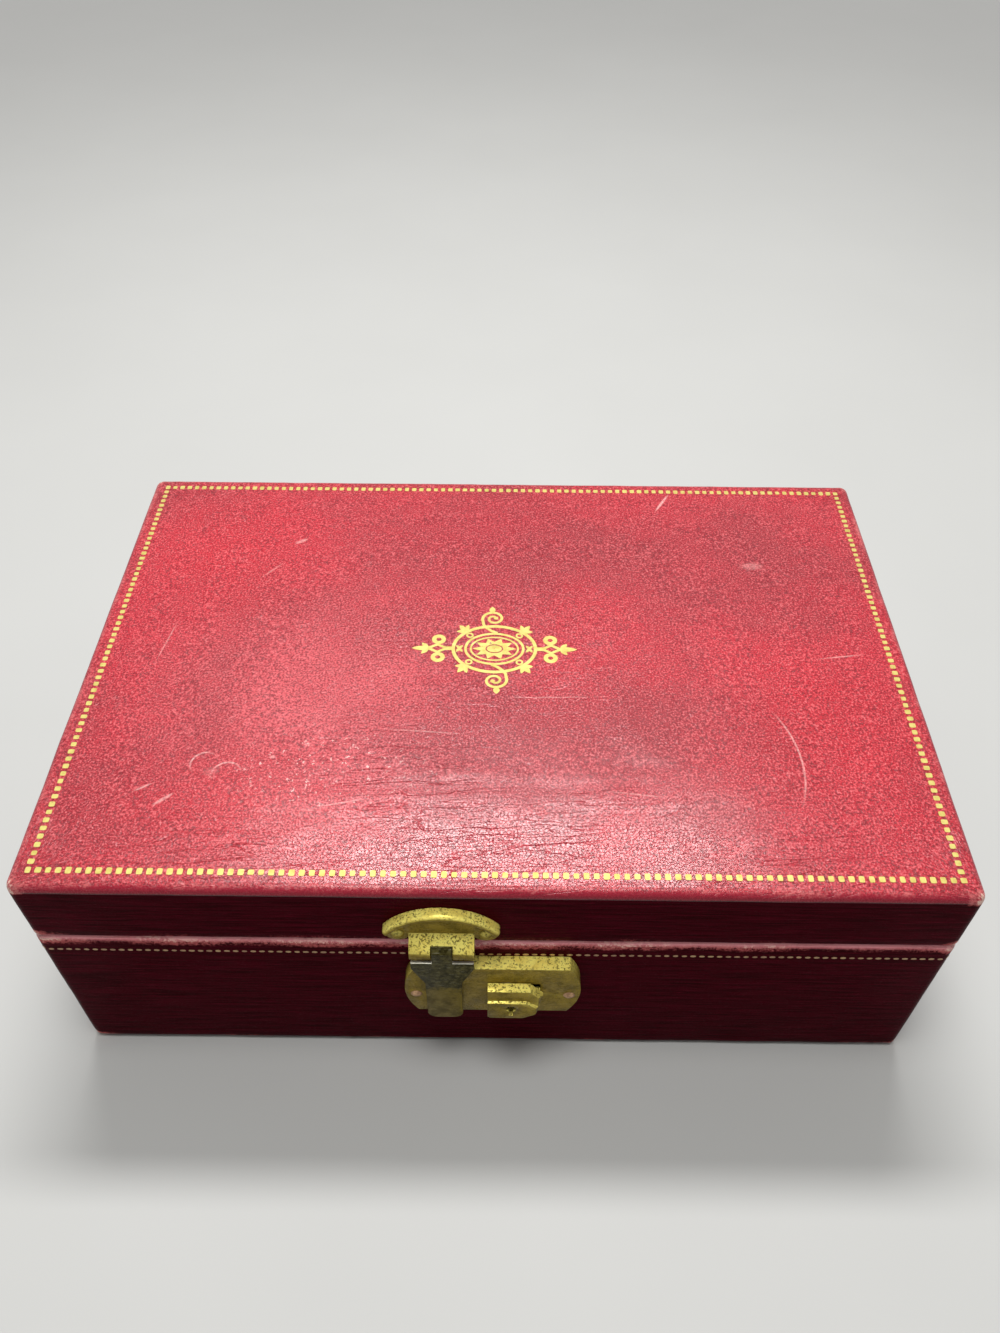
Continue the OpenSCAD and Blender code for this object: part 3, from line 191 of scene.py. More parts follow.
lamp_target = Vector((0, 0, 0.05))
for name, place, size, watts in (("back_lamp", (-0.01, 0.41, 1.10), (0.68, 0.17), 12.1),
                                 ("front_lamp", (-0.04, -0.19, 1.20), (0.42, 0.42), 7.6)):
    lamp = bpy.data.objects.new(name, bpy.data.lights.new(name, "AREA"))
    lamp.data.shape = "ELLIPSE"
    lamp.data.size, lamp.data.size_y = size
    lamp.data.energy = watts
    lamp.location = place
    lamp.rotation_euler = (lamp_target - lamp.location).to_track_quat("-Z", "Y").to_euler()
    bpy.context.scene.collection.objects.link(lamp)

world = bpy.data.worlds.new("room")
bpy.context.scene.world = world
world.use_nodes = True
tree = world.node_tree
light_path = tree.nodes.new("ShaderNodeLightPath")
shown = calc("MAXIMUM", light_path.outputs["Is Camera Ray"],
            calc("MAXIMUM", light_path.outputs["Is Glossy Ray"], light_path.outputs["Is Transmission Ray"]))
tree.links.new(put("ShaderNodeMapRange", Value=shown, To_Min=room_lit, To_Max=room_seen),
               tree.nodes["Background"].inputs["Strength"])
tree.nodes["Background"].inputs["Color"].default_value = room_colour

# Red leather, thin sheepskin with a printed grain, glued over the whole box.
# The lid is faded and rubbed by hands, its folds are worn to the pale hide,
# and the upright walls are darker, with a straight grain along them. Part of
# the walls' darkness, the deeper red on the turn of the edge and the dark lines
# in the folds are painted shade.


def from_spot(coords, x, y, half_w, half_d, turn=0):
    """How far from a spot on the lid, counted in half widths of a turned oval, in mm and degrees."""
    moved = put("ShaderNodeMapping", {"vector_type": "TEXTURE"}, Vector=coords,
                Location=(x * MM, y * MM, 0), Rotation=(0, 0, math.radians(turn)),
                Scale=(half_w * MM, half_d * MM, any_height))
    return reach_of(moved)


def oval_patch(coords, x, y, half_w, half_d, soft=0.6):
    """1 inside an oval on the lid, falling to 0 outside it."""
    return span(from_spot(coords, x, y, half_w, half_d), 1 + soft, 1 - soft)


half_w, half_d = 132 * MM, 90 * MM
any_height = 1000
leather, shader, skin = new_finish("red_leather", Specular_IOR_Level=0.38)
# The mesh carries where the leather is the lid's top, and how worn it is
lidtop = put("ShaderNodeAttribute", {"attribute_name": "lidtop"}, "Fac", leather.node_tree)
worn = put("ShaderNodeAttribute", {"attribute_name": "wear"}, "Fac", leather.node_tree)
cloud = grain(skin, 0.034, 6, 0.62)
fleck = grain(skin, 0.0052, 4, 0.6)
fine = grain(skin, 0.0011, 3, 0.65)
stipple = grain(skin, 0.00062, 2, 0.55)
# The printed grain is small pebbles, pushed out of line so that no row shows
pebble_size, drift_size, drift_reach = 0.85 * MM, 4 * MM, 1.6 * MM
drift = put("ShaderNodeTexNoise", (), "Color", Vector=skin, Scale=1 / drift_size, Detail=2)
bent = put("ShaderNodeVectorMath", {"operation": "MULTIPLY_ADD"}, i0=drift, i1=(drift_reach,) * 3, i2=skin)
pebble = put("ShaderNodeTexVoronoi", {"feature": "DISTANCE_TO_EDGE"}, Vector=bent, Scale=1 / pebble_size)
crease = span(pebble, 0.0, 0.10)
# Fine straight creases run along the front of the lid
fold_coords = put("ShaderNodeMapping", {"vector_type": "TEXTURE"}, Vector=skin,
                  Rotation=(0, 0, math.radians(5)), Scale=(1, 0.125, 1))
folds = 0.0
# Each set of creases: size of the waves that they follow, width and depth
for fold_size, fold_line, fold_depth in ((0.042, 0.009, 1.0), (0.018, 0.012, 0.55)):
    off_line = gap(grain(fold_coords, fold_size, 2, 0.42), 0.5)
    folds = calc("MAXIMUM", span(off_line, fold_line, 0.0, 0.0, fold_depth), folds)
at = axes(skin)
fold_place = times(span(grain(skin, 0.05, 2), 0.40, 0.62), span(at["Y"], 0.030, -0.06, 0.1, 1.0))
folds = times(folds, fold_place, lidtop)
# Small pleats fan out from each corner, where the leather is gathered
from_side = calc("SUBTRACT", half_w, calc("ABSOLUTE", at["X"]))
from_front = calc("SUBTRACT", half_d, calc("ABSOLUTE", at["Y"]))
reach = calc("SQRT", calc("ADD", times(from_side, from_side), times(from_front, from_front)))
which_corner = calc("ADD", times(calc("SIGN", at["X"]), 3.0), times(calc("SIGN", at["Y"]), 7.0))
fan = put("ShaderNodeCombineXYZ", X=times(calc("ARCTAN2", from_front, from_side), 9.0),
          Y=times(reach, 60.0), Z=which_corner)
pleats = times(span(gap(grain(fan, 1.0, 3, 0.55), 0.5), 0.05, 0.0), span(reach, 0.030, 0.010), lidtop)
straight = grain(stretched(skin, (1, 1, 26)), 0.022, 5, 0.66)
straight_fine = grain(stretched(skin, (1, 1, 16)), 0.006, 3, 0.6)

# The lid has faded in clouds and patches, given in mm by middle and half sizes
top_red = tint(span(cloud, 0.36, 0.64), (0.325, 0.017, 0.028), (0.445, 0.010, 0.025))
top_red = tint(times(span(fleck, 0.45, 0.75), 0.35), top_red, (0.58, 0.07, 0.08))
for patches, soft, amount, patch_red in (
        (((-56, -18, 40, 34),), 0.8, span(cloud, 0.3, 0.7, 0.15, 0.5), (0.62, 0.125, 0.140)),
        (((102, -30, 26, 30), (-69, -64, 30, 18), (-95, 44, 24, 30)), 0.8, 0.75, (0.50, 0.006, 0.020)),
        (((8, 52, 44, 22), (88, 40, 30, 26), (20, -38, 50, 16)), 0.9, 0.45, (0.22, 0.012, 0.020))):
    for patch in patches:
        top_red = tint(times(oval_patch(skin, *patch, soft), amount), top_red, patch_red)
top_red = tint(span(crease, 0.55, 0.0, 0.0, 0.30), top_red, (0.20, 0.008, 0.014))
top_red = tint(span(stipple, 0.52, 0.38, 0.0, 0.85), top_red, (0.15, 0.004, 0.010))
top_red = tint(span(stipple, 0.52, 0.66, 0.0, 0.62), top_red, (0.66, 0.14, 0.15))

# Scratches: place, turn in degrees, half length, half width, strength
marks = 0.0
for x, y, turn, long, thin, strength in (
        (60, 77, 62, 8, 0.7, 0.8), (-83, -51, 20, 3.2, 2.2, 0.12), (-71, 52, 35, 3.2, 1.2, 0.5),
        (-79, 36, 50, 6, 0.6, 0.3), (-66, -46, 10, 1.2, 0.8, 0.45), (88, 41, 5, 5, 2.6, 0.25),
        (-44, -62, 12, 9, 0.4, 0.35), (40, -58, 174, 10, 0.4, 0.3), (-108, 2, 80, 12, 0.4, 0.35),
        (110, -2, 10, 10, 0.4, 0.5), (-95, -61, 38, 4.0, 0.8, 0.6), (-102, -57, 30, 4.0, 0.5, 0.5),
        (-22, -36, 176, 16, 0.35, 0.35), (16, -22, 2, 20, 0.3, 0.35)):
    scratch = span(from_spot(skin, x, y, long, thin, turn), 1.0, 0.3)
    marks = calc("MAXIMUM", marks, times(scratch, strength))
# Bent scratches: the ring's middle and radius, and the oval that shows a part of it
for x, y, radius, shown in ((50, -47, 39.8, (88.5, -42, 5, 15)), (-85.5, -48.5, 4.2, (-88, -46, 4, 4)),
                            (-78.5, -52.5, 4.5, (-80, -49, 5, 4))):
    scratch = span(gap(from_spot(skin, x, y, radius, radius), 1.0), 0.45 / radius, 0.1 / radius)
    marks = calc("MAXIMUM", marks, times(scratch, 0.55, oval_patch(skin, *shown, 0.5)))
nicks = times(span(grain(skin, 0.0016, 3, 0.7), 0.60, 0.67), oval_patch(skin, -47, -50, 30, 13, 0.6))
marks = times(calc("MAXIMUM", marks, nicks), lidtop, span(fine, 0.3, 0.6, 0.3, 1))
top_red = tint(marks, top_red, (0.80, 0.45, 0.42))
# The folds and the corner pleats are darkened with painted shade along their creases
top_red = tint(times(folds, 0.18), top_red, (0.20, 0.014, 0.020))
top_red = tint(times(pleats, 0.6), top_red, (0.26, 0.012, 0.022))

# The walls are a deeper red, partly old unfaded red and partly painted shade, with paler streaks along their
# grain
wall_red_and_painted_shade = tint(span(straight, 0.36, 0.68), (0.030, 0.0006, 0.0024), (0.074, 0.0018, 0.0080))
wall_red_and_painted_shade = tint(span(straight_fine, 0.58, 0.74, 0.0, 0.7), wall_red_and_painted_shade, (0.15, 0.005, 0.020))
red = tint(lidtop, wall_red_and_painted_shade, top_red)
# The turn of the edge is painted a deeper red: painted shade where the roll turns down from the lit top
turned = times(span(lidtop, 0.20, 0.70), span(lidtop, 0.965, 0.90), 0.8)
red = tint(turned, red, (0.27, 0.003, 0.020))
scuff = times(worn, calc("ADD", span(grain(skin, 0.0034, 4, 0.7), 0.38, 0.66, 0.15, 0.6),
                         span(grain(skin, 0.0010, 4, 0.8), 0.42, 0.62, 0.05, 0.6)))
red = tint(span(scuff, 0.12, 0.50, 0, 0.85), red, (0.56, 0.125, 0.125))
red = tint(span(scuff, 0.62, 1.0, 0, 0.95), red, (0.80, 0.50, 0.41))
# Hands slide over the base's rim, which has lost most of its colour; the pale pink band along its crest is
# also a painted highlight
rim_foot, rim_full, rim_crest, rim_end = 64.3 * MM, 65.3 * MM, 66.30 * MM, 66.45 * MM
rim_painted_highlight = times(span(at["Z"], rim_foot, rim_full), span(at["Z"], rim_end, rim_crest),
                 span(straight, 0.30, 0.62, 0.35, 0.9))
red = tint(rim_painted_highlight, red, (0.95, 0.36, 0.40))
gloss = calc("ADD", span(cloud, 0.3, 0.7, 0.21, 0.27), times(span(crease, 0.5, 0), 0.15))
skin_height = calc("ADD", times(crease, 0.35), times(span(stipple, 0.35, 0.44), 0.30))
skin_height = calc("SUBTRACT", skin_height, times(calc("MAXIMUM", folds, pleats), 1.7))
wall_height = calc("ADD", times(straight, 1.2), straight_fine)
height = put("ShaderNodeMix", i0=lidtop, i2=wall_height, i3=skin_height)
wire(shader, Base_Color=red, Roughness=gloss, Normal=relief(height, 0.07 * MM))
# The upright walls are dull, so they wear the same leather with less gloss
wall_leather = leather.copy()
wall_leather.name = "red_leather_walls"
wall_leather.node_tree.nodes["Principled BSDF"].inputs["Specular IOR Level"].default_value = 0.005

# The lid's cover is one piece of leather drawn over the wadding and rolled
# down round the edge, then turned in under the wall of the lid.
corner_r, sharp_r = 3 * MM, 0.8 * MM
seam_z, lid_z, lid_top_z = 66.2 * MM, 66.5 * MM, 92.0 * MM
lid_roll, foot_roll = 2.7 * MM, 0.9 * MM
crown, crown_inset = 2.4 * MM, 4.3 * MM
hide = 0.8 * MM


def crown_height(x, y):
    u, v = min(1, abs(x) / (half_w - crown_inset)), min(1, abs(y) / (half_d - crown_inset))
    return crown * (1 - u ** 3) * (1 - v ** 3)


def rectangle_loop(inset, radius, count_x=96, count_y=66, count_corner=6):
    """Points round a rectangle with rounded corners, as many on every loop."""
    w, d = half_w - inset, half_d - inset
    radius = min(radius, d * 0.98)
    loop = []
    for quarter in range(4):
        length, out, count = (w, d, count_x) if quarter % 2 else (d, w, count_y)
        turn = quarter * math.pi / 2
        straight_run = length - radius
        side = [(out, -straight_run + 2 * straight_run * i / count) for i in range(count)]
        for i in range(count_corner):
            angle = math.pi / 2 * i / count_corner
            side.append((out - radius + radius * math.cos(angle), straight_run + radius * math.sin(angle)))
        cos, sin = math.cos(turn), math.sin(turn)
        loop += [(x * cos - y * sin, x * sin + y * cos) for x, y in side]
    return loop


def top_roll(z, radius, steps=6):
    """Profile points up a quarter roll, from the wall to the top."""
    for i in range(steps + 1):
        angle = math.pi / 2 * i / steps
        yield radius - radius * math.cos(angle), z + radius * math.sin(angle)


def foot_rows(z, worn=0.30):
    """Profile rows of the small quarter roll at the foot of a wall."""
    for degrees in (0, 30, 60, 90):
        angle = math.radians(degrees)
        yield foot_roll - foot_roll * math.sin(angle), z + foot_roll - foot_roll * math.cos(angle), worn, 0


def loft_cover(profile, fill_top):
    """Skins the loops of a profile of (inset, height, wear, lid top) and closes its top."""
    bm = bmesh.new()
    worn_layer = bm.verts.layers.float.new("wear")
    top_layer = bm.verts.layers.float.new("lidtop")
    rings = []
    for inset, z, wear_amount, on_top in profile:
        loop = rectangle_loop(inset, max(corner_r - inset, sharp_r) if on_top < 1 else sharp_r + 0.7 * inset)
        ring = []
        for x, y in loop:
            vert = bm.verts.new((x, y, z + (crown_height(x, y) if on_top == 1 else 0)))
            from_corner = math.dist((abs(x), abs(y)), (half_w, half_d))
            near_corner = (2.6 * max(0, 1 - from_corner / (3.6 * MM))
                           + 0.35 * max(0, 1 - from_corner / (10 * MM)))
            patchy = 0.75 + 0.9 * noise.noise(Vector((x, y, z)) * 55)
            vert[worn_layer] = min(1.6, max(0, wear_amount * patchy + near_corner * (wear_amount > 0.1)))
            vert[top_layer] = min(1, on_top)
            ring.append(vert)
        rings.append(ring)
    for low, high, row, next_row in zip(rings, rings[1:], profile, profile[1:]):
        on_wall = row[3] + next_row[3] == 0
        for i in range(len(low)):
            j = (i + 1) % len(low)
            bm.faces.new((low[i], low[j], high[j], high[i])).material_index = int(on_wall)
    if fill_top:
        bmesh.ops.triangulate(bm, faces=[bm.faces.new(rings[-1])])
    bm.normal_update()
    for vert in bm.verts:
        push = 0.10 * noise.noise(vert.co * 60) + 0.05 * noise.noise(vert.co * 190)
        if vert[worn_layer] > 0.3:
            push += 0.10 * noise.noise(vert.co * 420)
        if vert[top_layer] == 1:
            push += 0.07 * noise.noise(Vector((vert.co.x * 45, vert.co.y * 260, 3)))
        vert.co += vert.normal * push * MM
    return bm


def leather_cover(name, profile, fill_top):
    """A cover with the thickness of its hide, and its faces for what is stamped on it."""
    made = make_object(name, loft_cover(profile, fill_top), [leather, wall_leather])
    shell = made.modifiers.new("thickness", "SOLIDIFY")
    shell.thickness, shell.offset = hide, -1
    return made, BVHTree.FromObject(made, bpy.context.evaluated_depsgraph_get())


# Rows from the turned-in foot up the wall, over the roll and in across the top
roll_wear = (0.14, 0.16, 0.20, 0.34, 0.46, 0.42, 0.25)
roll_top = (0, 0.60, 0.80, 0.88, 0.93, 0.97, 0.97)
lid_profile = [(6.0 * MM, lid_z, 0, 0), (3.0 * MM, lid_z, 0, 0), *foot_rows(lid_z)]
lid_profile += [(0, (70 + 2 * i) * MM, 0.05, 0) for i in range(10)]
lid_profile += [(*spot, worn_here, top_here) for spot, worn_here, top_here
                in zip(top_roll(lid_top_z - lid_roll, lid_roll), roll_wear, roll_top)]
lid_profile += [(3.4 * MM, lid_top_z, 0.05, 0.97), (crown_inset, lid_top_z, 0, 1)]
lid_profile += [(inset * MM, lid_top_z, 0, 1) for inset in (*range(6, 90, 2), 89.2)]
lid_cover, lid_skin = leather_cover("lid_cover", lid_profile, True)
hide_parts("lid_leather")
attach(lid_cover, "lid")

# The base is covered like the lid, with a rounded rim that stands out under
# the seam. The rim is rubbed pale where the hand slides over it, and its
# high wear doubles as a painted highlight.
rim_roll, board_top_z = 2.2 * MM, 1.5 * MM
base_profile = [(30 * MM, board_top_z, 0, 0), (4 * MM, board_top_z, 0, 0), *foot_rows(board_top_z)]
base_profile += [(0, (4 + 3 * i) * MM, 0.04, 0) for i in range(20)]
base_profile += [(*spot, 0.80 + 0.50 * math.sin(math.pi * i / 6), (0, 0.9, 0.97)[min(i, 2)])
                 for i, spot in enumerate(top_roll(seam_z - rim_roll, rim_roll))]
base_profile += [(6 * MM, seam_z, 0.02, 0.3)]
base_cover, base_skin = leather_cover("base_cover", base_profile, False)
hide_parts("base_leather")
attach(base_cover, "base")

# The lid's border is a row of small squares of gold leaf, stamped with a hot
# roll, and a finer row of ovals runs round the base under its rim.
gilt, shader, leaf = new_finish("gold_leaf", Metallic=0.3, Roughness=0.5, Specular_IOR_Level=0.25)
patina = span(grain(leaf, 0.0026, 4, 0.7), 0.40, 0.70)
gold = tint(patina, (0.54, 0.465, 0.14), (0.44, 0.355, 0.085))
gold = tint(span(grain(leaf, 0.0007, 3, 0.7), 0.60, 0.72, 0, 0.7), gold, (0.34, 0.15, 0.05))
wire(shader, Base_Color=gold, Normal=relief(grain(leaf, 0.0005), 0.00004))

old_gilt, shader, leaf = new_finish("dulled_gold_leaf", Metallic=0.35, Roughness=0.45)
rubbed = span(grain(leaf, 0.004, 4, 0.7), 0.34, 0.66)
gold = tint(rubbed, (0.52, 0.33, 0.16), (0.30, 0.15, 0.08))
wire(shader, Base_Color=gold, Normal=relief(grain(leaf, 0.0004), 0.00003))


def row_tree(name, sizes, whole_numbers=()):
    """A new tree with its named inputs, and the points that lie a pitch apart along its path."""
    made = bpy.data.node_groups.new(name, "GeometryNodeTree")
    face = made.interface
    face.new_socket("Path", in_out="INPUT", socket_type="NodeSocketGeometry")
    for key, value in sizes.items():
        face.new_socket(key, in_out="INPUT", socket_type="NodeSocketFloat").default_value = value
    for key in whole_numbers:
        face.new_socket(key, in_out="INPUT", socket_type="NodeSocketInt")
    face.new_socket("Finish", in_out="INPUT", socket_type="NodeSocketMaterial")
    face.new_socket("Row", in_out="OUTPUT", socket_type="NodeSocketGeometry")
    given = made.nodes.new("NodeGroupInput").outputs
    path = put("GeometryNodeMeshToCurve", Mesh=given["Path"])
    path = put("GeometryNodeResampleCurve", {"mode": "LENGTH"}, Curve=path, Length=given["Pitch"])
    return made, given, path


def finish_row(made, row, finish):
    """Makes the instances real, gives them their finish and ends the tree."""
    row = put("GeometryNodeRealizeInstances", Geometry=row)
    row = put("GeometryNodeSetMaterial", Geometry=row, Material=finish)
    made.links.new(row, made.nodes.new("NodeGroupOutput").inputs["Row"])
    return made


def leaf_row_tree():
    """Sets flat leaves with rounded corners along a path, which carries the direction that each faces."""
    made, given, path = row_tree("leaf_row", {
        "Pitch": 2.8 * MM, "Length": 2 * MM, "Width": 1.8 * MM, "Thickness": 0.06 * MM,
        "Worn Away": 0.0, "Squareness": 1.0}, ["Seed"])
    outward = put("GeometryNodeInputNamedAttribute", {"data_type": "FLOAT_VECTOR"}, "Attribute", made,
                  Name="outward")
    along = put("GeometryNodeInputTangent", tree=made)
    turn = put("FunctionNodeAlignRotationToVector", {"axis": "Z"}, Vector=outward)
    turn = put("FunctionNodeAlignRotationToVector", {"axis": "X", "pivot_axis": "Z"},
               Rotation=turn, Vector=along)
    stamp = put("GeometryNodeMeshCylinder", tree=made, Vertices=16, Radius=1.0, Depth=1.0)
    # A round disc becomes a rounded square as its two sides are raised to a low power
    round_at = axes(put("GeometryNodeInputPosition", tree=made))
    square = [times(calc("SIGN", side),
                    times(calc("POWER", calc("ABSOLUTE", side), given["Squareness"]), 0.5))
              for side in (round_at["X"], round_at["Y"])]
    stamp = put("GeometryNodeSetPosition", Geometry=stamp,
                Position=put("ShaderNodeCombineXYZ", X=square[0], Y=square[1], Z=round_at["Z"]))
    size = put("ShaderNodeCombineXYZ", X=given["Length"], Y=given["Width"], Z=given["Thickness"])
    stamp = put("GeometryNodeTransform", Geometry=stamp, Scale=size)
    uneven = put("FunctionNodeRandomValue", {"data_type": "FLOAT_VECTOR"},
                 Min=(0.9, 0.86, 1), Max=(1.08, 1.1, 1), Seed=given["Seed"])
    gone = put("FunctionNodeRandomValue", {"data_type": "BOOLEAN"}, 3,
               Probability=given["Worn Away"], Seed=given["Seed"])
    kept = put("FunctionNodeBooleanMath", {"operation": "NOT"}, i0=gone)
    row = put("GeometryNodeInstanceOnPoints", Points=path, Selection=kept, Instance=stamp,
              Rotation=turn, Scale=uneven)
    return finish_row(made, row, given["Finish"])


def grown(tree_group, name, points, directions, closed, **values):
    """Runs a tree on a path and returns the plain mesh object that it makes."""
    data = bpy.data.meshes.new(name + "_path")
    last = len(points) if closed else len(points) - 1
    data.from_pydata([tuple(p) for p in points], [(i, (i + 1) % len(points)) for i in range(last)], [])
    data.attributes.new("outward", "FLOAT_VECTOR", "POINT").data.foreach_set(
        "vector", [part for d in directions for part in d])
    carrier = bpy.data.objects.new(name + "_path", data)
    bpy.context.scene.collection.objects.link(carrier)
    step = carrier.modifiers.new("grow", "NODES")
    step.node_group = tree_group
    for item in tree_group.interface.items_tree:
        key = item.name.replace(" ", "_")
        if item.in_out == "INPUT" and key in values:
            step[item.identifier] = values[key]
    result = bpy.data.meshes.new_from_object(carrier.evaluated_get(bpy.context.evaluated_depsgraph_get()))
    result.name = name
    carrier.modifiers.remove(step)
    bpy.data.objects.remove(carrier)
    made = bpy.data.objects.new(name, result)
    bpy.context.scene.collection.objects.link(made)
    return made


leaf_row = leaf_row_tree()


def on_lid(x, y, lift=0.05 * MM):
    hit = lid_skin.ray_cast(Vector((x, y, 0.2)), Vector((0, 0, -1)))[0]
    return Vector((x, y, hit.z + lift))


# The side rows start and end one pitch in, because the front and back rows hold the corners
border_x, border_front, border_back, border_pitch = 126.4 * MM, -84.3 * MM, 84.4 * MM, 2.72 * MM
for name, start, stop, width, inset in (
        ("front", (-border_x, border_front), (border_x, border_front), 1.90 * MM, 0),
        ("back", (-border_x, border_back), (border_x, border_back), 1.90 * MM, 0),
        ("left", (-border_x, border_front), (-border_x, border_back), 1.75 * MM, border_pitch),
        ("right", (border_x, border_front), (border_x, border_back), 1.75 * MM, border_pitch)):
    a, b = Vector(start), Vector(stop)
    steps = round((b - a).length / (2 * MM))
    inner = inset / (b - a).length
    path = [on_lid(*a.lerp(b, inner + (1 - 2 * inner) * i / steps)) for i in range(steps + 1)]
    row = grown(leaf_row, "lid_border_" + name, path, [(0, 0, 1)] * len(path), False, Pitch=border_pitch,
                Length=1.62 * MM, Width=width, Thickness=0.07 * MM, Squareness=0.42,
                Seed=len(name), Finish=gilt)
    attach(row, "lid")

trim_z, trim_lift, far_out = 59.0 * MM, 0.02 * MM, 20 * MM
around, facing = [], []
for x, y in rectangle_loop(0, corner_r):
    edge = Vector((x - math.copysign(min(abs(x), half_w - corner_r), x),
                   y - math.copysign(min(abs(y), half_d - corner_r), y), 0)).normalized()
    spot = base_skin.ray_cast(Vector((x, y, trim_z)) + edge * far_out, -edge)[0]
    around.append(spot + edge * trim_lift)
    facing.append(tuple(edge))
base_trim = grown(leaf_row, "base_gilt_line", around, facing, True, Pitch=2.55 * MM, Length=1.65 * MM,
                  Width=1.0 * MM, Thickness=0.06 * MM, Worn_Away=0.01, Seed=4, Finish=old_gilt)
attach(base_trim, "base")

# The centre ornament is stamped in the same gold leaf: a star inside ovals,
# and straps, leaves and scrolls round them. It is cut here as thin flat shapes
# that follow the crown of the lid.
ornament = bmesh.new()
ornament_x, ornament_y, ornament_size = -1.35, -1.4, 0.97
ornament_sink, lift_step = -0.03 * MM, 0.0006 * MM
ornament_lift = 0.045 * MM


def stamp_faces(rows, closed):
    """Closes a thin solid between two rows of points, given in mm from the ornament's centre.

    Each shape lies a hair higher than the last, so that no two tops are level where they cross.
    """
    global ornament_lift
    ornament_lift += lift_step
    verts = []
    for row in rows:
        for lift in (ornament_lift, ornament_sink):
            verts.append([ornament.verts.new(on_lid(
                (ornament_x + x * ornament_size) * MM, (ornament_y + y * ornament_size) * MM, lift))
                          for x, y in row])
    top_a, low_a, top_b, low_b = verts
    count = len(top_a)
    for i in range(count if closed else count - 1):
        j = (i + 1) % count
        for quad in ((top_a[i], top_a[j], top_b[j], top_b[i]), (low_b[i], low_b[j], low_a[j], low_a[i]),
                     (low_a[i], low_a[j], top_a[j], top_a[i]), (top_b[i], top_b[j], low_b[j], low_b[i])):
            ornament.faces.new(quad)
    if not closed:
        for i in (0, count - 1):
            ornament.faces.new((top_a[i], top_b[i], low_b[i], low_a[i]))


def ribbon(points, width, end_width=None, closed=False):
    """A band of leaf along a line of points, tapering to its end width."""
    count = len(points)
    sides = ([], [])
    for i, (x, y) in enumerate(points):
        before = points[i - 1] if closed or i else points[i]
        after = points[(i + 1) % count] if closed or i < count - 1 else points[i]
        dx, dy = after[0] - before[0], after[1] - before[1]
        long = math.hypot(dx, dy)
        half = (width + ((end_width or width) - width) * i / (count - 1)) / 2
        sides[0].append((x - dy / long * half, y + dx / long * half))
        sides[1].append((x + dy / long * half, y - dx / long * half))
    stamp_faces(sides, closed)


def leaf_shape(x, y, turn, long, wide):
    """A pointed leaf with its stalk at a point."""
    rows = ([], [])
    for i in range(9):
        t = i / 8
        half = wide / 2 * math.sin(math.pi * t ** 0.8) ** 0.8 + 0.02
        for row, side in zip(rows, (half, -half)):
            row.append((x + t * long * math.cos(turn) - side * math.sin(turn),
                        y + t * long * math.sin(turn) + side * math.cos(turn)))
    stamp_faces(rows, False)


def oval(x, y, a, b, count=64):
    turns = [2 * math.pi * i / count for i in range(count)]
    return [(x + a * math.cos(turn), y + b * math.sin(turn)) for turn in turns]


ribbon(oval(0, 0, 13.65, 10.55, 96), 1.15, closed=True)
ribbon(oval(0, 0, 9.6, 7.0, 80), 0.85, closed=True)
ribbon(oval(0, 0, 7.85, 5.3, 80), 0.62, closed=True)
# The star has ten points, with three more points along each of its edges
star_x, star_y, star_valley = 7.3, 4.85, 0.64
hole_x, hole_y = 2.95, 2.05
tips = []
for i in range(20):
    reach = star_valley if i % 2 else 1.0
    angle = 2 * math.pi * i / 20
    tips.append((star_x * reach * math.cos(angle), star_y * reach * math.sin(angle)))
star = [(a[0] + (b[0] - a[0]) * n / 4, a[1] + (b[1] - a[1]) * n / 4)
        for a, b in zip(tips, tips[1:] + tips[:1]) for n in range(4)]
hole = []
for x, y in star:
    angle = math.atan2(y / star_y, x / star_x)
    hole.append((hole_x * math.cos(angle), hole_y * math.sin(angle)))
stamp_faces((hole, star), True)
stamp_faces((oval(0, 0, 0.2, 0.15), oval(0, 0, 2.5, 1.62)), True)
# Straps, scrolls and leaves, alike in all four quarters
for side_x in (-1, 1):
    for side_y in (-1, 1):
        ribbon(oval(side_x * 8.3, side_y * 6.15, 0.95, 0.9, 24), 0.62, closed=True)
        root = (side_x * 9.7, side_y * 8.1)
        out = math.atan2(side_y * 0.95, side_x * 0.75)
        for spread, long, wide in ((0, 3.5, 1.8), (0.95, 3.1, 1.5), (-0.95, 3.1, 1.5)):
            leaf_shape(*root, out + spread, long, wide)
        leaf_shape(side_x * 11.6, 0, math.atan2(side_y * 1.6, -side_x * 1.1), 1.9, 0.95)
        leaf_shape(side_x * 11.6, 0, math.atan2(side_y * 1.6, side_x * 1.1), 1.9, 0.95)
        ribbon([(side_x * 14.0, side_y * 0.25), (side_x * 16.4, side_y * 0.3), (side_x * 18.9, side_y * 1.75),
                (side_x * 21.7, side_y * 0.15), (side_x * 22.6, -side_y * 0.35)], 1.05)
        ribbon(oval(side_x * 18.6, side_y * 4.1, 1.6, 1.5, 28), 1.45, closed=True)
        ribbon([(side_x * 18.9, side_y * 1.5), (side_x * 18.85, side_y * 3.2)], 1.2)
        leaf_shape(side_x * 22.0, 0, math.atan2(side_y * 1.15, side_x), 3.3, 1.6)
    leaf_shape(side_x * 22.0, 0, 0 if side_x > 0 else math.pi, 5.4, 1.9)
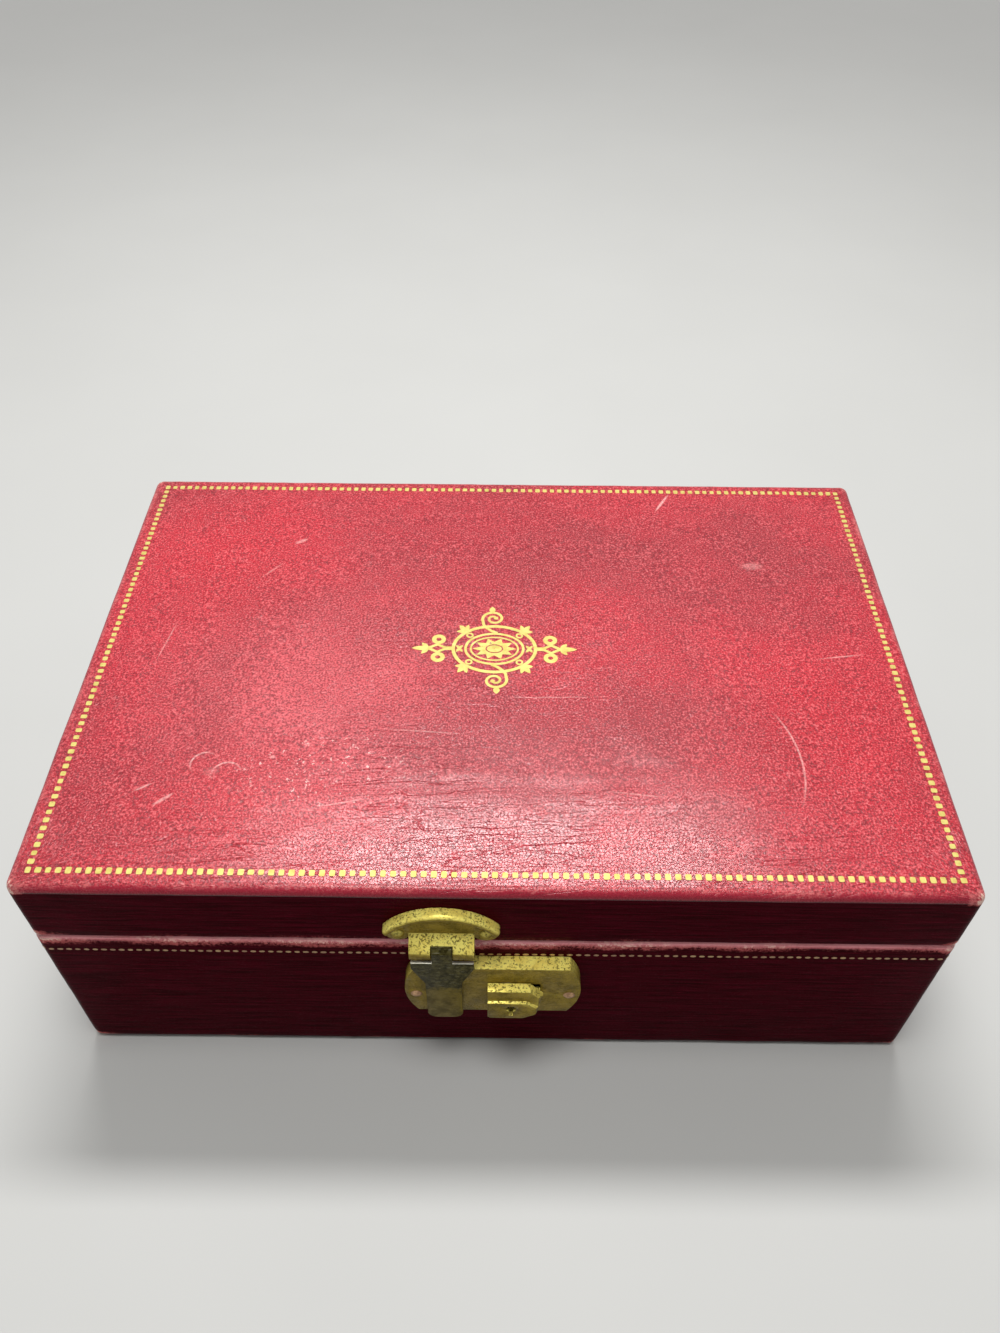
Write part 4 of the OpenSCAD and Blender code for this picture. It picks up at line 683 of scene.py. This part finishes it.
# A scroll winds inwards one turn and a half, above and below
scroll = [(0.9, 7.3), (-1.0, 8.3), (-2.7, 9.7), (-3.75, 11.2)]
scroll_steps, scroll_x, scroll_y = 55, -0.35, 14.25
for i in range(scroll_steps + 1):
    t = i / scroll_steps
    angle = math.radians(203 - 540 * t)
    reach = 4.0 - 3.2 * t ** 0.9
    scroll.append((scroll_x + reach * math.cos(angle), scroll_y + 0.9 * reach * math.sin(angle)))
for turned in (1, -1):
    ribbon([(turned * x, turned * y) for x, y in scroll], 1.0, 0.8)
    stamp_faces((oval(turned * scroll[-1][0], turned * scroll[-1][1], 0.1, 0.1, 16),
                 oval(turned * scroll[-1][0], turned * scroll[-1][1], 0.75, 0.7, 16)), True)
    leaf_shape(turned * -0.9, turned * 17.3, turned * math.pi / 2, 2.7, 2.1)
bmesh.ops.recalc_face_normals(ornament, faces=ornament.faces)
centre_ornament = make_object("centre_ornament", ornament, [gilt], smooth=False)
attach(centre_ornament, "lid")

# The latch's brass is stamped sheet that was once lacquered, tarnished and pitted.
# What faces up is painted bright yellow as painted light from above, and what
# stands upright is painted olive brown as painted shade.
brass, shader, metal = new_finish("old_brass", Metallic=0.18, Specular_IOR_Level=0.10)


def upward(coords):
    """How far a face of the piece looks up, from -1 to 1."""
    return axes(coords.node.outputs["Normal"])["Z"]


# Faces that look up get painted light, upright faces painted shade
painted_light_from_above = span(upward(metal), 0.05, 0.75)
tarnish = grain(metal, 0.0045, 5, 0.65)
painted_lit_yellow = tint(span(tarnish, 0.35, 0.68), (1.0, 0.88, 0.21), (0.88, 0.70, 0.14))
painted_shade_olive = tint(span(tarnish, 0.35, 0.68), (0.33, 0.23, 0.026), (0.165, 0.114, 0.010))
tone = tint(painted_light_from_above, painted_shade_olive, painted_lit_yellow)
pits = span(grain(metal, 0.00062, 3, 0.7), 0.53, 0.60)
pits = times(pits, span(grain(metal, 0.005, 3, 0.6), 0.34, 0.52, 0.3, 1))
tone = tint(times(pits, span(painted_light_from_above, 0, 1, 0.35, 0.85)), tone, (0.13, 0.090, 0.018))
fine_scratch = span(grain(stretched(metal, (1, 1, 14)), 0.004, 4, 0.7), 0.60, 0.70, 0, 0.35)
tone = tint(fine_scratch, tone, (0.85, 0.70, 0.30))
pitted = calc("SUBTRACT", times(tarnish, 0.4), pits)
wire(shader, Base_Color=tone, Roughness=span(pits, 0, 1, 0.30, 0.62), Normal=relief(pitted, 0.12 * MM))

# The hasp was nickel plated. Its arm has gone black, and its foot is bare
nickel, shader, metal = new_finish("worn_nickel", Metallic=0.5, Specular_IOR_Level=0.06)
metal_z = axes(metal)["Z"]
patch = grain(metal, 0.006, 5, 0.68)
plated_from, bare_below, ragged = 58.5 * MM, 54.5 * MM, 16 * MM
lower = span(calc("ADD", metal_z, times(patch, ragged)), plated_from, bare_below)
mottle = grain(metal, 0.0016, 7, 0.8)
plate_tone = tint(span(mottle, 0.40, 0.66), (0.024, 0.020, 0.004), (0.105, 0.090, 0.028))
bare_tone = tint(span(patch, 0.4, 0.62), (0.19, 0.135, 0.012), (0.095, 0.068, 0.007))
tone = tint(lower, plate_tone, bare_tone)
slanting = put("ShaderNodeMapping", Vector=metal, Rotation=(0, math.radians(38), 0), Scale=(1, 9, 9))
hairs = span(grain(slanting, 0.0030, 5, 0.75), 0.57, 0.66)
tone = tint(times(hairs, span(lower, 0, 1, 0.55, 0.15)), tone, (0.45, 0.43, 0.30))
# The top edges of the hasp's arms get a pale painted highlight
hasp_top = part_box("hasp")[1][2]
arm_edge_painted_highlight = times(span(upward(metal), 0.25, 0.75), span(metal_z, hasp_top - 2.0 * MM, hasp_top - 3.0 * MM))
tone = tint(arm_edge_painted_highlight, tone, (0.62, 0.60, 0.50))
wire(shader, Base_Color=tone, Roughness=span(patch, 0.3, 0.7, 0.28, 0.5),
     Normal=relief(grain(metal, 0.0009, 4, 0.7), 0.00006))

# Two copper rivet heads hold the lock case
copper, shader, metal = new_finish("rivet_copper", Metallic=0.6, Roughness=0.42)
tone = tint(span(grain(metal, 0.0016, 4, 0.7), 0.38, 0.64), (0.60, 0.36, 0.20), (0.30, 0.17, 0.09))
wire(shader, Base_Color=tone, Normal=relief(grain(metal, 0.0006), 0.00005))


def joined_copy(node):
    """A node's own shape with its loose triangles joined up."""
    bm = bmesh.new()
    bm.from_mesh(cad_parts[node].data)
    for face in bm.faces:
        face.material_index = 0
    bmesh.ops.remove_doubles(bm, verts=bm.verts, dist=0.002 * MM)
    return bm


def softened(node, name, finish, body, width, angle=28, segments=2):
    """A stamped piece: the node's shape joined up, its edges rounded by width."""
    bm = joined_copy(node)
    bmesh.ops.dissolve_limit(bm, angle_limit=math.radians(1.5), verts=bm.verts, edges=bm.edges)
    made = make_object(name, bm, [finish])
    edge = made.modifiers.new("edges", "BEVEL")
    edge.width, edge.segments, edge.limit_method = width, segments, "ANGLE"
    edge.angle_limit = math.radians(angle)
    edge.harden_normals = True
    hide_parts(node)
    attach(made, body)
    return made


softened("catch_plate", "catch", brass, "lid", 0.28 * MM)
softened("catch_rivets", "catch_rivet_heads", brass, "lid", 0.1 * MM, 50)
softened("lock_shell", "lock_case", brass, "base", 0.4 * MM)
softened("lock_rivets", "lock_rivet_heads", copper, "base", 0.1 * MM, 50)
softened("slide_knob", "latch_knob", brass, "knob", 0.22 * MM)
softened("hasp", "latch_hasp", nickel, "hasp", 0.2 * MM)
softened("lock_plate", "lock_back_plate", brass, "base", 0.1 * MM)


def dress(finish, *nodes):
    """Gives CAD nodes whose shape is right their finish."""
    for node in nodes:
        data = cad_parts[node].data
        data.materials.clear()
        data.materials.append(finish)


# Small steel and blued spring parts of the lock and of the movement, turned
# or stamped and lightly oiled.
steel, shader, metal = new_finish("plated_steel", Metallic=0.9)
cloud = grain(metal, 0.006, 5, 0.6)
tone = tint(span(cloud, 0.35, 0.65), (0.56, 0.56, 0.57), (0.40, 0.39, 0.38))
wire(shader, Base_Color=tone, Roughness=span(cloud, 0.3, 0.7, 0.24, 0.42),
     Normal=relief(grain(stretched(metal, (1, 8, 8)), 0.002, 4), 0.00002))
spring_steel, shader, metal = new_finish("blued_steel", Metallic=0.85)
cloud = grain(metal, 0.004, 4, 0.6)
tone = tint(span(cloud, 0.35, 0.65), (0.20, 0.21, 0.25), (0.11, 0.11, 0.13))
wire(shader, Base_Color=tone, Roughness=span(cloud, 0.3, 0.7, 0.26, 0.45))
# The lock's cam is painted near black, as painted shade inside the keyhole
sooty_iron, shader, metal = new_finish("sooty_iron", Roughness=0.7, Specular_IOR_Level=0.1)
shade_mottle = grain(metal, 0.0012, 4, 0.7)
wire(shader, Base_Color=tint(span(shade_mottle, 0.35, 0.65), (0.006, 0.005, 0.004), (0.018, 0.015, 0.011)),
     Normal=relief(shade_mottle, 0.00008))
dress(sooty_iron, "lock_cam")
clean_brass, shader, metal = new_finish("turned_brass", Metallic=0.85)
cloud = grain(metal, 0.005, 5, 0.6)
tone = tint(span(cloud, 0.35, 0.68), (0.74, 0.56, 0.22), (0.52, 0.37, 0.12))
wire(shader, Base_Color=tone, Roughness=span(cloud, 0.3, 0.7, 0.24, 0.40),
     Normal=relief(grain(metal, 0.0012, 3), 0.00003))
dress(steel, "hasp_pin", "latch_bolt", "bedplate", "bedplate_screws", "cylinder_brackets", "comb_seat",
      "comb_screws", "governor_frame", "ratchet_click", "winding_arbor", "cylinder_shaft", "governor_arbor",
      "governor_worm", "stop_wire", "hinge_pins")
dress(spring_steel, "hasp_spring", "tone_comb", "stop_spring", "mainspring")
dress(clean_brass, "spring_barrel", "tune_cylinder", "cylinder_pinion", "cylinder_wheel", "governor_wheel",
      "fly_vanes")
softened("winding_key", "winding_key_wings", steel, "winding", 0.35 * MM)

# The knob's spring is a small coil between the bolt's tail and a stop on the
# case, and pushes the bolt back.
knob_coil = make_object("knob_return_coil", joined_copy("knob_spring"), [spring_steel])
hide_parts("knob_spring")
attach(knob_coil, "base")
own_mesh(knob_coil)

# Two butt hinges of rolled brass sheet hold the lid at the back, each leaf
# fixed with slotted brass screws. The sheet has browned where polish pooled.
hinge_brass, shader, metal = new_finish("hinge_brass", Metallic=0.8)
polish = grain(metal, 0.006, 6, 0.68)
brushed = grain(stretched(metal, (1, 1, 12)), 0.003, 4, 0.6)
tone = tint(span(polish, 0.36, 0.62), (0.70, 0.52, 0.20), (0.38, 0.25, 0.080))
tone = tint(span(grain(metal, 0.0009, 4, 0.72), 0.60, 0.68, 0, 0.7), tone, (0.12, 0.075, 0.025))
wire(shader, Base_Color=tone, Roughness=span(polish, 0.3, 0.7, 0.26, 0.48),
     Normal=relief(calc("ADD", polish, times(brushed, 0.3)), 0.08 * MM))
softened("hinge_base_leaves", "hinge_leaves_on_base", hinge_brass, "base", 0.22 * MM)
softened("hinge_lid_leaves", "hinge_leaves_on_lid", hinge_brass, "lid", 0.22 * MM)
softened("hinge_base_screws", "hinge_screws_on_base", hinge_brass, "base", 0.08 * MM, 50)
softened("hinge_lid_screws", "hinge_screws_on_lid", hinge_brass, "lid", 0.08 * MM, 50)

# Pine boards make the two carcasses, planed and glued at the corners. They
# show only where the leather and the linings end.
pine, shader, wood = new_finish("planed_pine", Roughness=0.6, Specular_IOR_Level=0.3)
bands = grain(stretched(wood, (1, 16, 16)), 0.06, 5, 0.6)
fibres = grain(stretched(wood, (1, 30, 30)), 0.016, 4, 0.65)
tone = tint(span(bands, 0.38, 0.62), (0.62, 0.43, 0.22), (0.42, 0.25, 0.10))
tone = tint(span(fibres, 0.50, 0.72, 0, 0.6), tone, (0.30, 0.17, 0.07))
wire(shader, Base_Color=tone, Normal=relief(calc("ADD", bands, fibres), 0.00012))
dress(pine, "base_carcass", "lid_carcass")

# The bottom board is thin wood stained black, set in from the walls. Its
# underside is scuffed from years of being slid over a dresser.
black_stain, shader, wood = new_finish("black_stained_board", Specular_IOR_Level=0.35)
fibres = grain(stretched(wood, (1, 18, 18)), 0.02, 5, 0.65)
scuffs = span(grain(wood, 0.012, 6, 0.72), 0.55, 0.68)
tone = tint(span(fibres, 0.4, 0.65), (0.014, 0.012, 0.011), (0.040, 0.034, 0.030))
tone = tint(times(scuffs, 0.6), tone, (0.12, 0.085, 0.060))
wire(shader, Base_Color=tone, Roughness=span(scuffs, 0, 1, 0.45, 0.75), Normal=relief(fibres, 0.00010))
dress(black_stain, "bottom_board")

# Crimson cotton velvet lines the base and covers its dividers, the riser of
# the ring tray and the lid of the movement. The pile lies this way and that.


def velvet_finish(name, shaded, lit):
    made, shader, pile = new_finish(name, Roughness=0.92, Specular_IOR_Level=0.08, Sheen_Weight=0.55,
                                    Sheen_Roughness=0.38, Sheen_Tint=(1.0, 0.32, 0.38))
    lay = grain(pile, 0.020, 5, 0.62)
    brushed = grain(stretched(pile, (1, 3, 1)), 0.007, 4, 0.65)
    tufts = grain(pile, 0.00055, 3, 0.75)
    tone = tint(span(lay, 0.36, 0.64), shaded, lit)
    tone = tint(span(brushed, 0.55, 0.72, 0, 0.5), tone, tuple(1.5 * part for part in lit))
    tone = tint(span(tufts, 0.56, 0.40, 0, 0.55), tone, tuple(0.35 * part for part in shaded))
    nap = calc("ADD", tufts, times(brushed, 1.5))
    wire(shader, Base_Color=tone, Normal=relief(nap, 0.22 * MM))
    return made


velvet = velvet_finish("crimson_velvet", (0.13, 0.007, 0.018), (0.27, 0.016, 0.038))
roll_velvet = velvet_finish("crimson_velvet_rolls", (0.17, 0.010, 0.024), (0.33, 0.022, 0.048))
dress(velvet, "base_lining")
softened("long_partition", "long_divider", velvet, "base", 0.9 * MM, segments=3)
softened("cross_partitions", "cross_dividers", velvet, "base", 0.9 * MM, segments=3)
softened("ring_riser", "ring_tray_riser", velvet, "base", 0.8 * MM, segments=3)
softened("music_cover", "movement_cover", velvet, "base", 0.8 * MM, segments=3)

# Seven stuffed rolls of velvet lie side by side on the riser and hold rings
# between them. Each is a sewn tube, full in the middle and gathered at its
# ends, and flat where it lies on the riser.
roll_low, roll_high = [Vector(corner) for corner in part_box("ring_rolls")]
roll_count, roll_depth = 7, 14 * MM
roll_pitch = (roll_high.y - roll_low.y - roll_depth) / (roll_count - 1)
roll_middle = (roll_low.x + roll_high.x) / 2
roll_half = (roll_high.x - roll_low.x) / 2
belly_z, swell = roll_low.z + 6.2 * MM, 0.55 * MM
floor_z, ceiling_z = roll_low.z + 0.02 * MM, roll_high.z + 0.1 * MM
rolls = bmesh.new()
stations, around_count = 88, 40
slack_mm, ruck_mm, gather_mm = 0.55, 0.22, 0.34
gather_from, gather_count = 0.86, 11
for k in range(roll_count):
    middle_y = roll_low.y + roll_depth / 2 + k * roll_pitch
    rings = []
    for i in range(1, stations):
        t = math.sin(math.pi * (i / stations - 0.5))
        full = (1 - abs(t) ** 9) ** (1 / 2.4)
        ring = []
        for j in range(around_count):
            angle = 2 * math.pi * j / around_count
            across, upright = math.cos(angle), math.sin(angle)
            y = (roll_depth / 2 + swell) * math.copysign(abs(across) ** 0.86, across)
            if upright > 0:
                z = (roll_high.z - belly_z) * upright ** 0.92
            else:
                z = (roll_low.z - belly_z) * abs(upright) ** 0.42
            slack = noise.noise(Vector((t * 5.5, across * 0.7, k * 3.1))) * slack_mm * MM
            rucks = noise.noise(Vector((t * 34, across * 1.6, k * 7.7 + upright))) * ruck_mm * MM
            gathers = gather_mm * MM * math.sin(angle * gather_count + k)
            gathers *= max(0, (abs(t) - gather_from) / 0.14)
            out = full * (1 + (slack + rucks + gathers) / (roll_depth / 2) * (upright > -0.3))
            z = max(floor_z, min(ceiling_z, belly_z + z * out))
            ring.append(rolls.verts.new((roll_middle + roll_half * t, middle_y + y * out, z)))
        rings.append(ring)
    for low, high in zip(rings, rings[1:]):
        for j in range(around_count):
            n = (j + 1) % around_count
            rolls.faces.new((low[j], low[n], high[n], high[j]))
    for ring, side in ((rings[0], -1), (rings[-1], 1)):
        tip = rolls.verts.new((roll_middle + side * roll_half * 0.992, middle_y, belly_z))
        for j in range(around_count):
            rolls.faces.new((ring[j], ring[(j + 1) % around_count], tip))
bmesh.ops.recalc_face_normals(rolls, faces=rolls.faces)
ring_cushions = make_object("ring_cushions", rolls, [roll_velvet])
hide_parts("ring_rolls")
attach(ring_cushions, "base")

# A layer of cotton wadding lies on the board of the lid and gives the leather
# its low crown.
cotton, shader, fluff = new_finish("cotton_wadding", Roughness=0.95, Specular_IOR_Level=0.1, Sheen_Weight=0.3)
tufts = grain(fluff, 0.004, 6, 0.75)
wire(shader, Base_Color=tint(span(tufts, 0.35, 0.65), (0.86, 0.83, 0.74), (0.70, 0.65, 0.54)),
     Normal=relief(tufts, 0.0006))
pad_low, pad_high = [Vector(corner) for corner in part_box("lid_wadding")]
pad_inset, middle_inset = half_w - pad_high.x, 89.0 * MM
under_z, edge_z, crown_z = pad_low.z + 0.05 * MM, pad_low.z + 0.2 * MM, pad_low.z + 0.48 * MM
pad_profile = [(middle_inset, under_z, 0, 0), (60 * MM, under_z, 0, 0), (30 * MM, under_z, 0, 0),
               (pad_inset + 0.5 * MM, under_z, 0, 0), (pad_inset + 0.1 * MM, edge_z, 0, 0),
               (pad_inset + 0.5 * MM, pad_low.z + 0.4 * MM, 0, 1)]
pad_profile += [(inset * MM, crown_z, 0, 1) for inset in range(6, 90, 3)]
pad_profile.append((middle_inset, crown_z, 0, 1))
pad = loft_cover(pad_profile, True)
bmesh.ops.holes_fill(pad, edges=pad.edges, sides=0)
bmesh.ops.triangulate(pad, faces=[face for face in pad.faces if len(face.verts) > 4])
for face in pad.faces:
    face.material_index = 0
bmesh.ops.recalc_face_normals(pad, faces=pad.faces)
wadding = make_object("lid_padding", pad, [cotton])
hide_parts("lid_wadding")
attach(wadding, "lid")

# The lid is lined with glossy red satin on card, and a mirror hangs in it in
# a gilt moulding with a row of small beads.
satin, shader, cloth = new_finish("red_satin", Roughness=0.34, Specular_IOR_Level=0.45, Anisotropic=0.45,
                                  Sheen_Weight=0.25)
moire = grain(stretched(cloth, (1, 5, 5)), 0.045, 5, 0.6)
threads = put("ShaderNodeTexWave", {"bands_direction": "Y"}, Vector=cloth, Scale=420.0, Distortion=1.5,
              Detail=2.0)
tone = tint(span(moire, 0.36, 0.64), (0.30, 0.020, 0.045), (0.50, 0.055, 0.090))
tone = tint(times(threads, 0.18), tone, (0.16, 0.008, 0.018))
wire(shader, Base_Color=tone, Normal=relief(calc("ADD", moire, times(threads, 0.12)), 0.35 * MM))
dress(satin, "lid_lining")

gilt_wood, shader, leaf = new_finish("gilt_moulding", Metallic=0.75)
rubbed = grain(leaf, 0.007, 5, 0.68)
tone = tint(span(rubbed, 0.38, 0.62), (0.78, 0.57, 0.20), (0.56, 0.37, 0.11))
tone = tint(span(grain(leaf, 0.0022, 5, 0.75), 0.62, 0.70, 0, 0.8), tone, (0.26, 0.07, 0.03))
wire(shader, Base_Color=tone, Roughness=span(rubbed, 0.3, 0.7, 0.26, 0.46),
     Normal=relief(rubbed, 0.00015))
softened("mirror_frame", "mirror_surround", gilt_wood, "lid", 1.1 * MM, segments=4)


def bead_row_tree():
    """Sets small half-sunk beads along a path."""
    made, given, path = row_tree("bead_row", {"Pitch": 2 * MM, "Radius": 0.8 * MM})
    bead = put("GeometryNodeMeshUVSphere", Segments=8, Rings=6, Radius=given["Radius"])
    bead = put("GeometryNodeSetShadeSmooth", Geometry=bead)
    row = put("GeometryNodeInstanceOnPoints", Points=path, Instance=bead)
    return finish_row(made, row, given["Finish"])


frame_low, frame_high = [Vector(corner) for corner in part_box("mirror_frame")]
bead_inset, bead_sink = 3.6 * MM, 0.1 * MM
bead_x, bead_y, bead_z = frame_high.x - bead_inset, frame_high.y - bead_inset, frame_low.z + bead_sink
corners = [(side_x * bead_x, side_y * bead_y, bead_z)
           for side_x, side_y in ((1, 1), (-1, 1), (-1, -1), (1, -1))]
beads = grown(bead_row_tree(), "mirror_beads", corners, [(0, 0, -1)] * len(corners), True,
              Pitch=2.2 * MM, Radius=0.85 * MM, Finish=gilt_wood)
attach(beads, "lid")

mirror, shader, glass = new_finish("silvered_mirror", Metallic=1.0, Roughness=0.03)
foxing = span(grain(glass, 0.0016, 4, 0.7), 0.66, 0.74, 0, 0.8)
foxing = times(foxing, span(grain(glass, 0.03, 3, 0.6), 0.5, 0.62))
wire(shader, Base_Color=tint(foxing, (0.86, 0.87, 0.86), (0.16, 0.12, 0.08)))
dress(mirror, "mirror_glass")
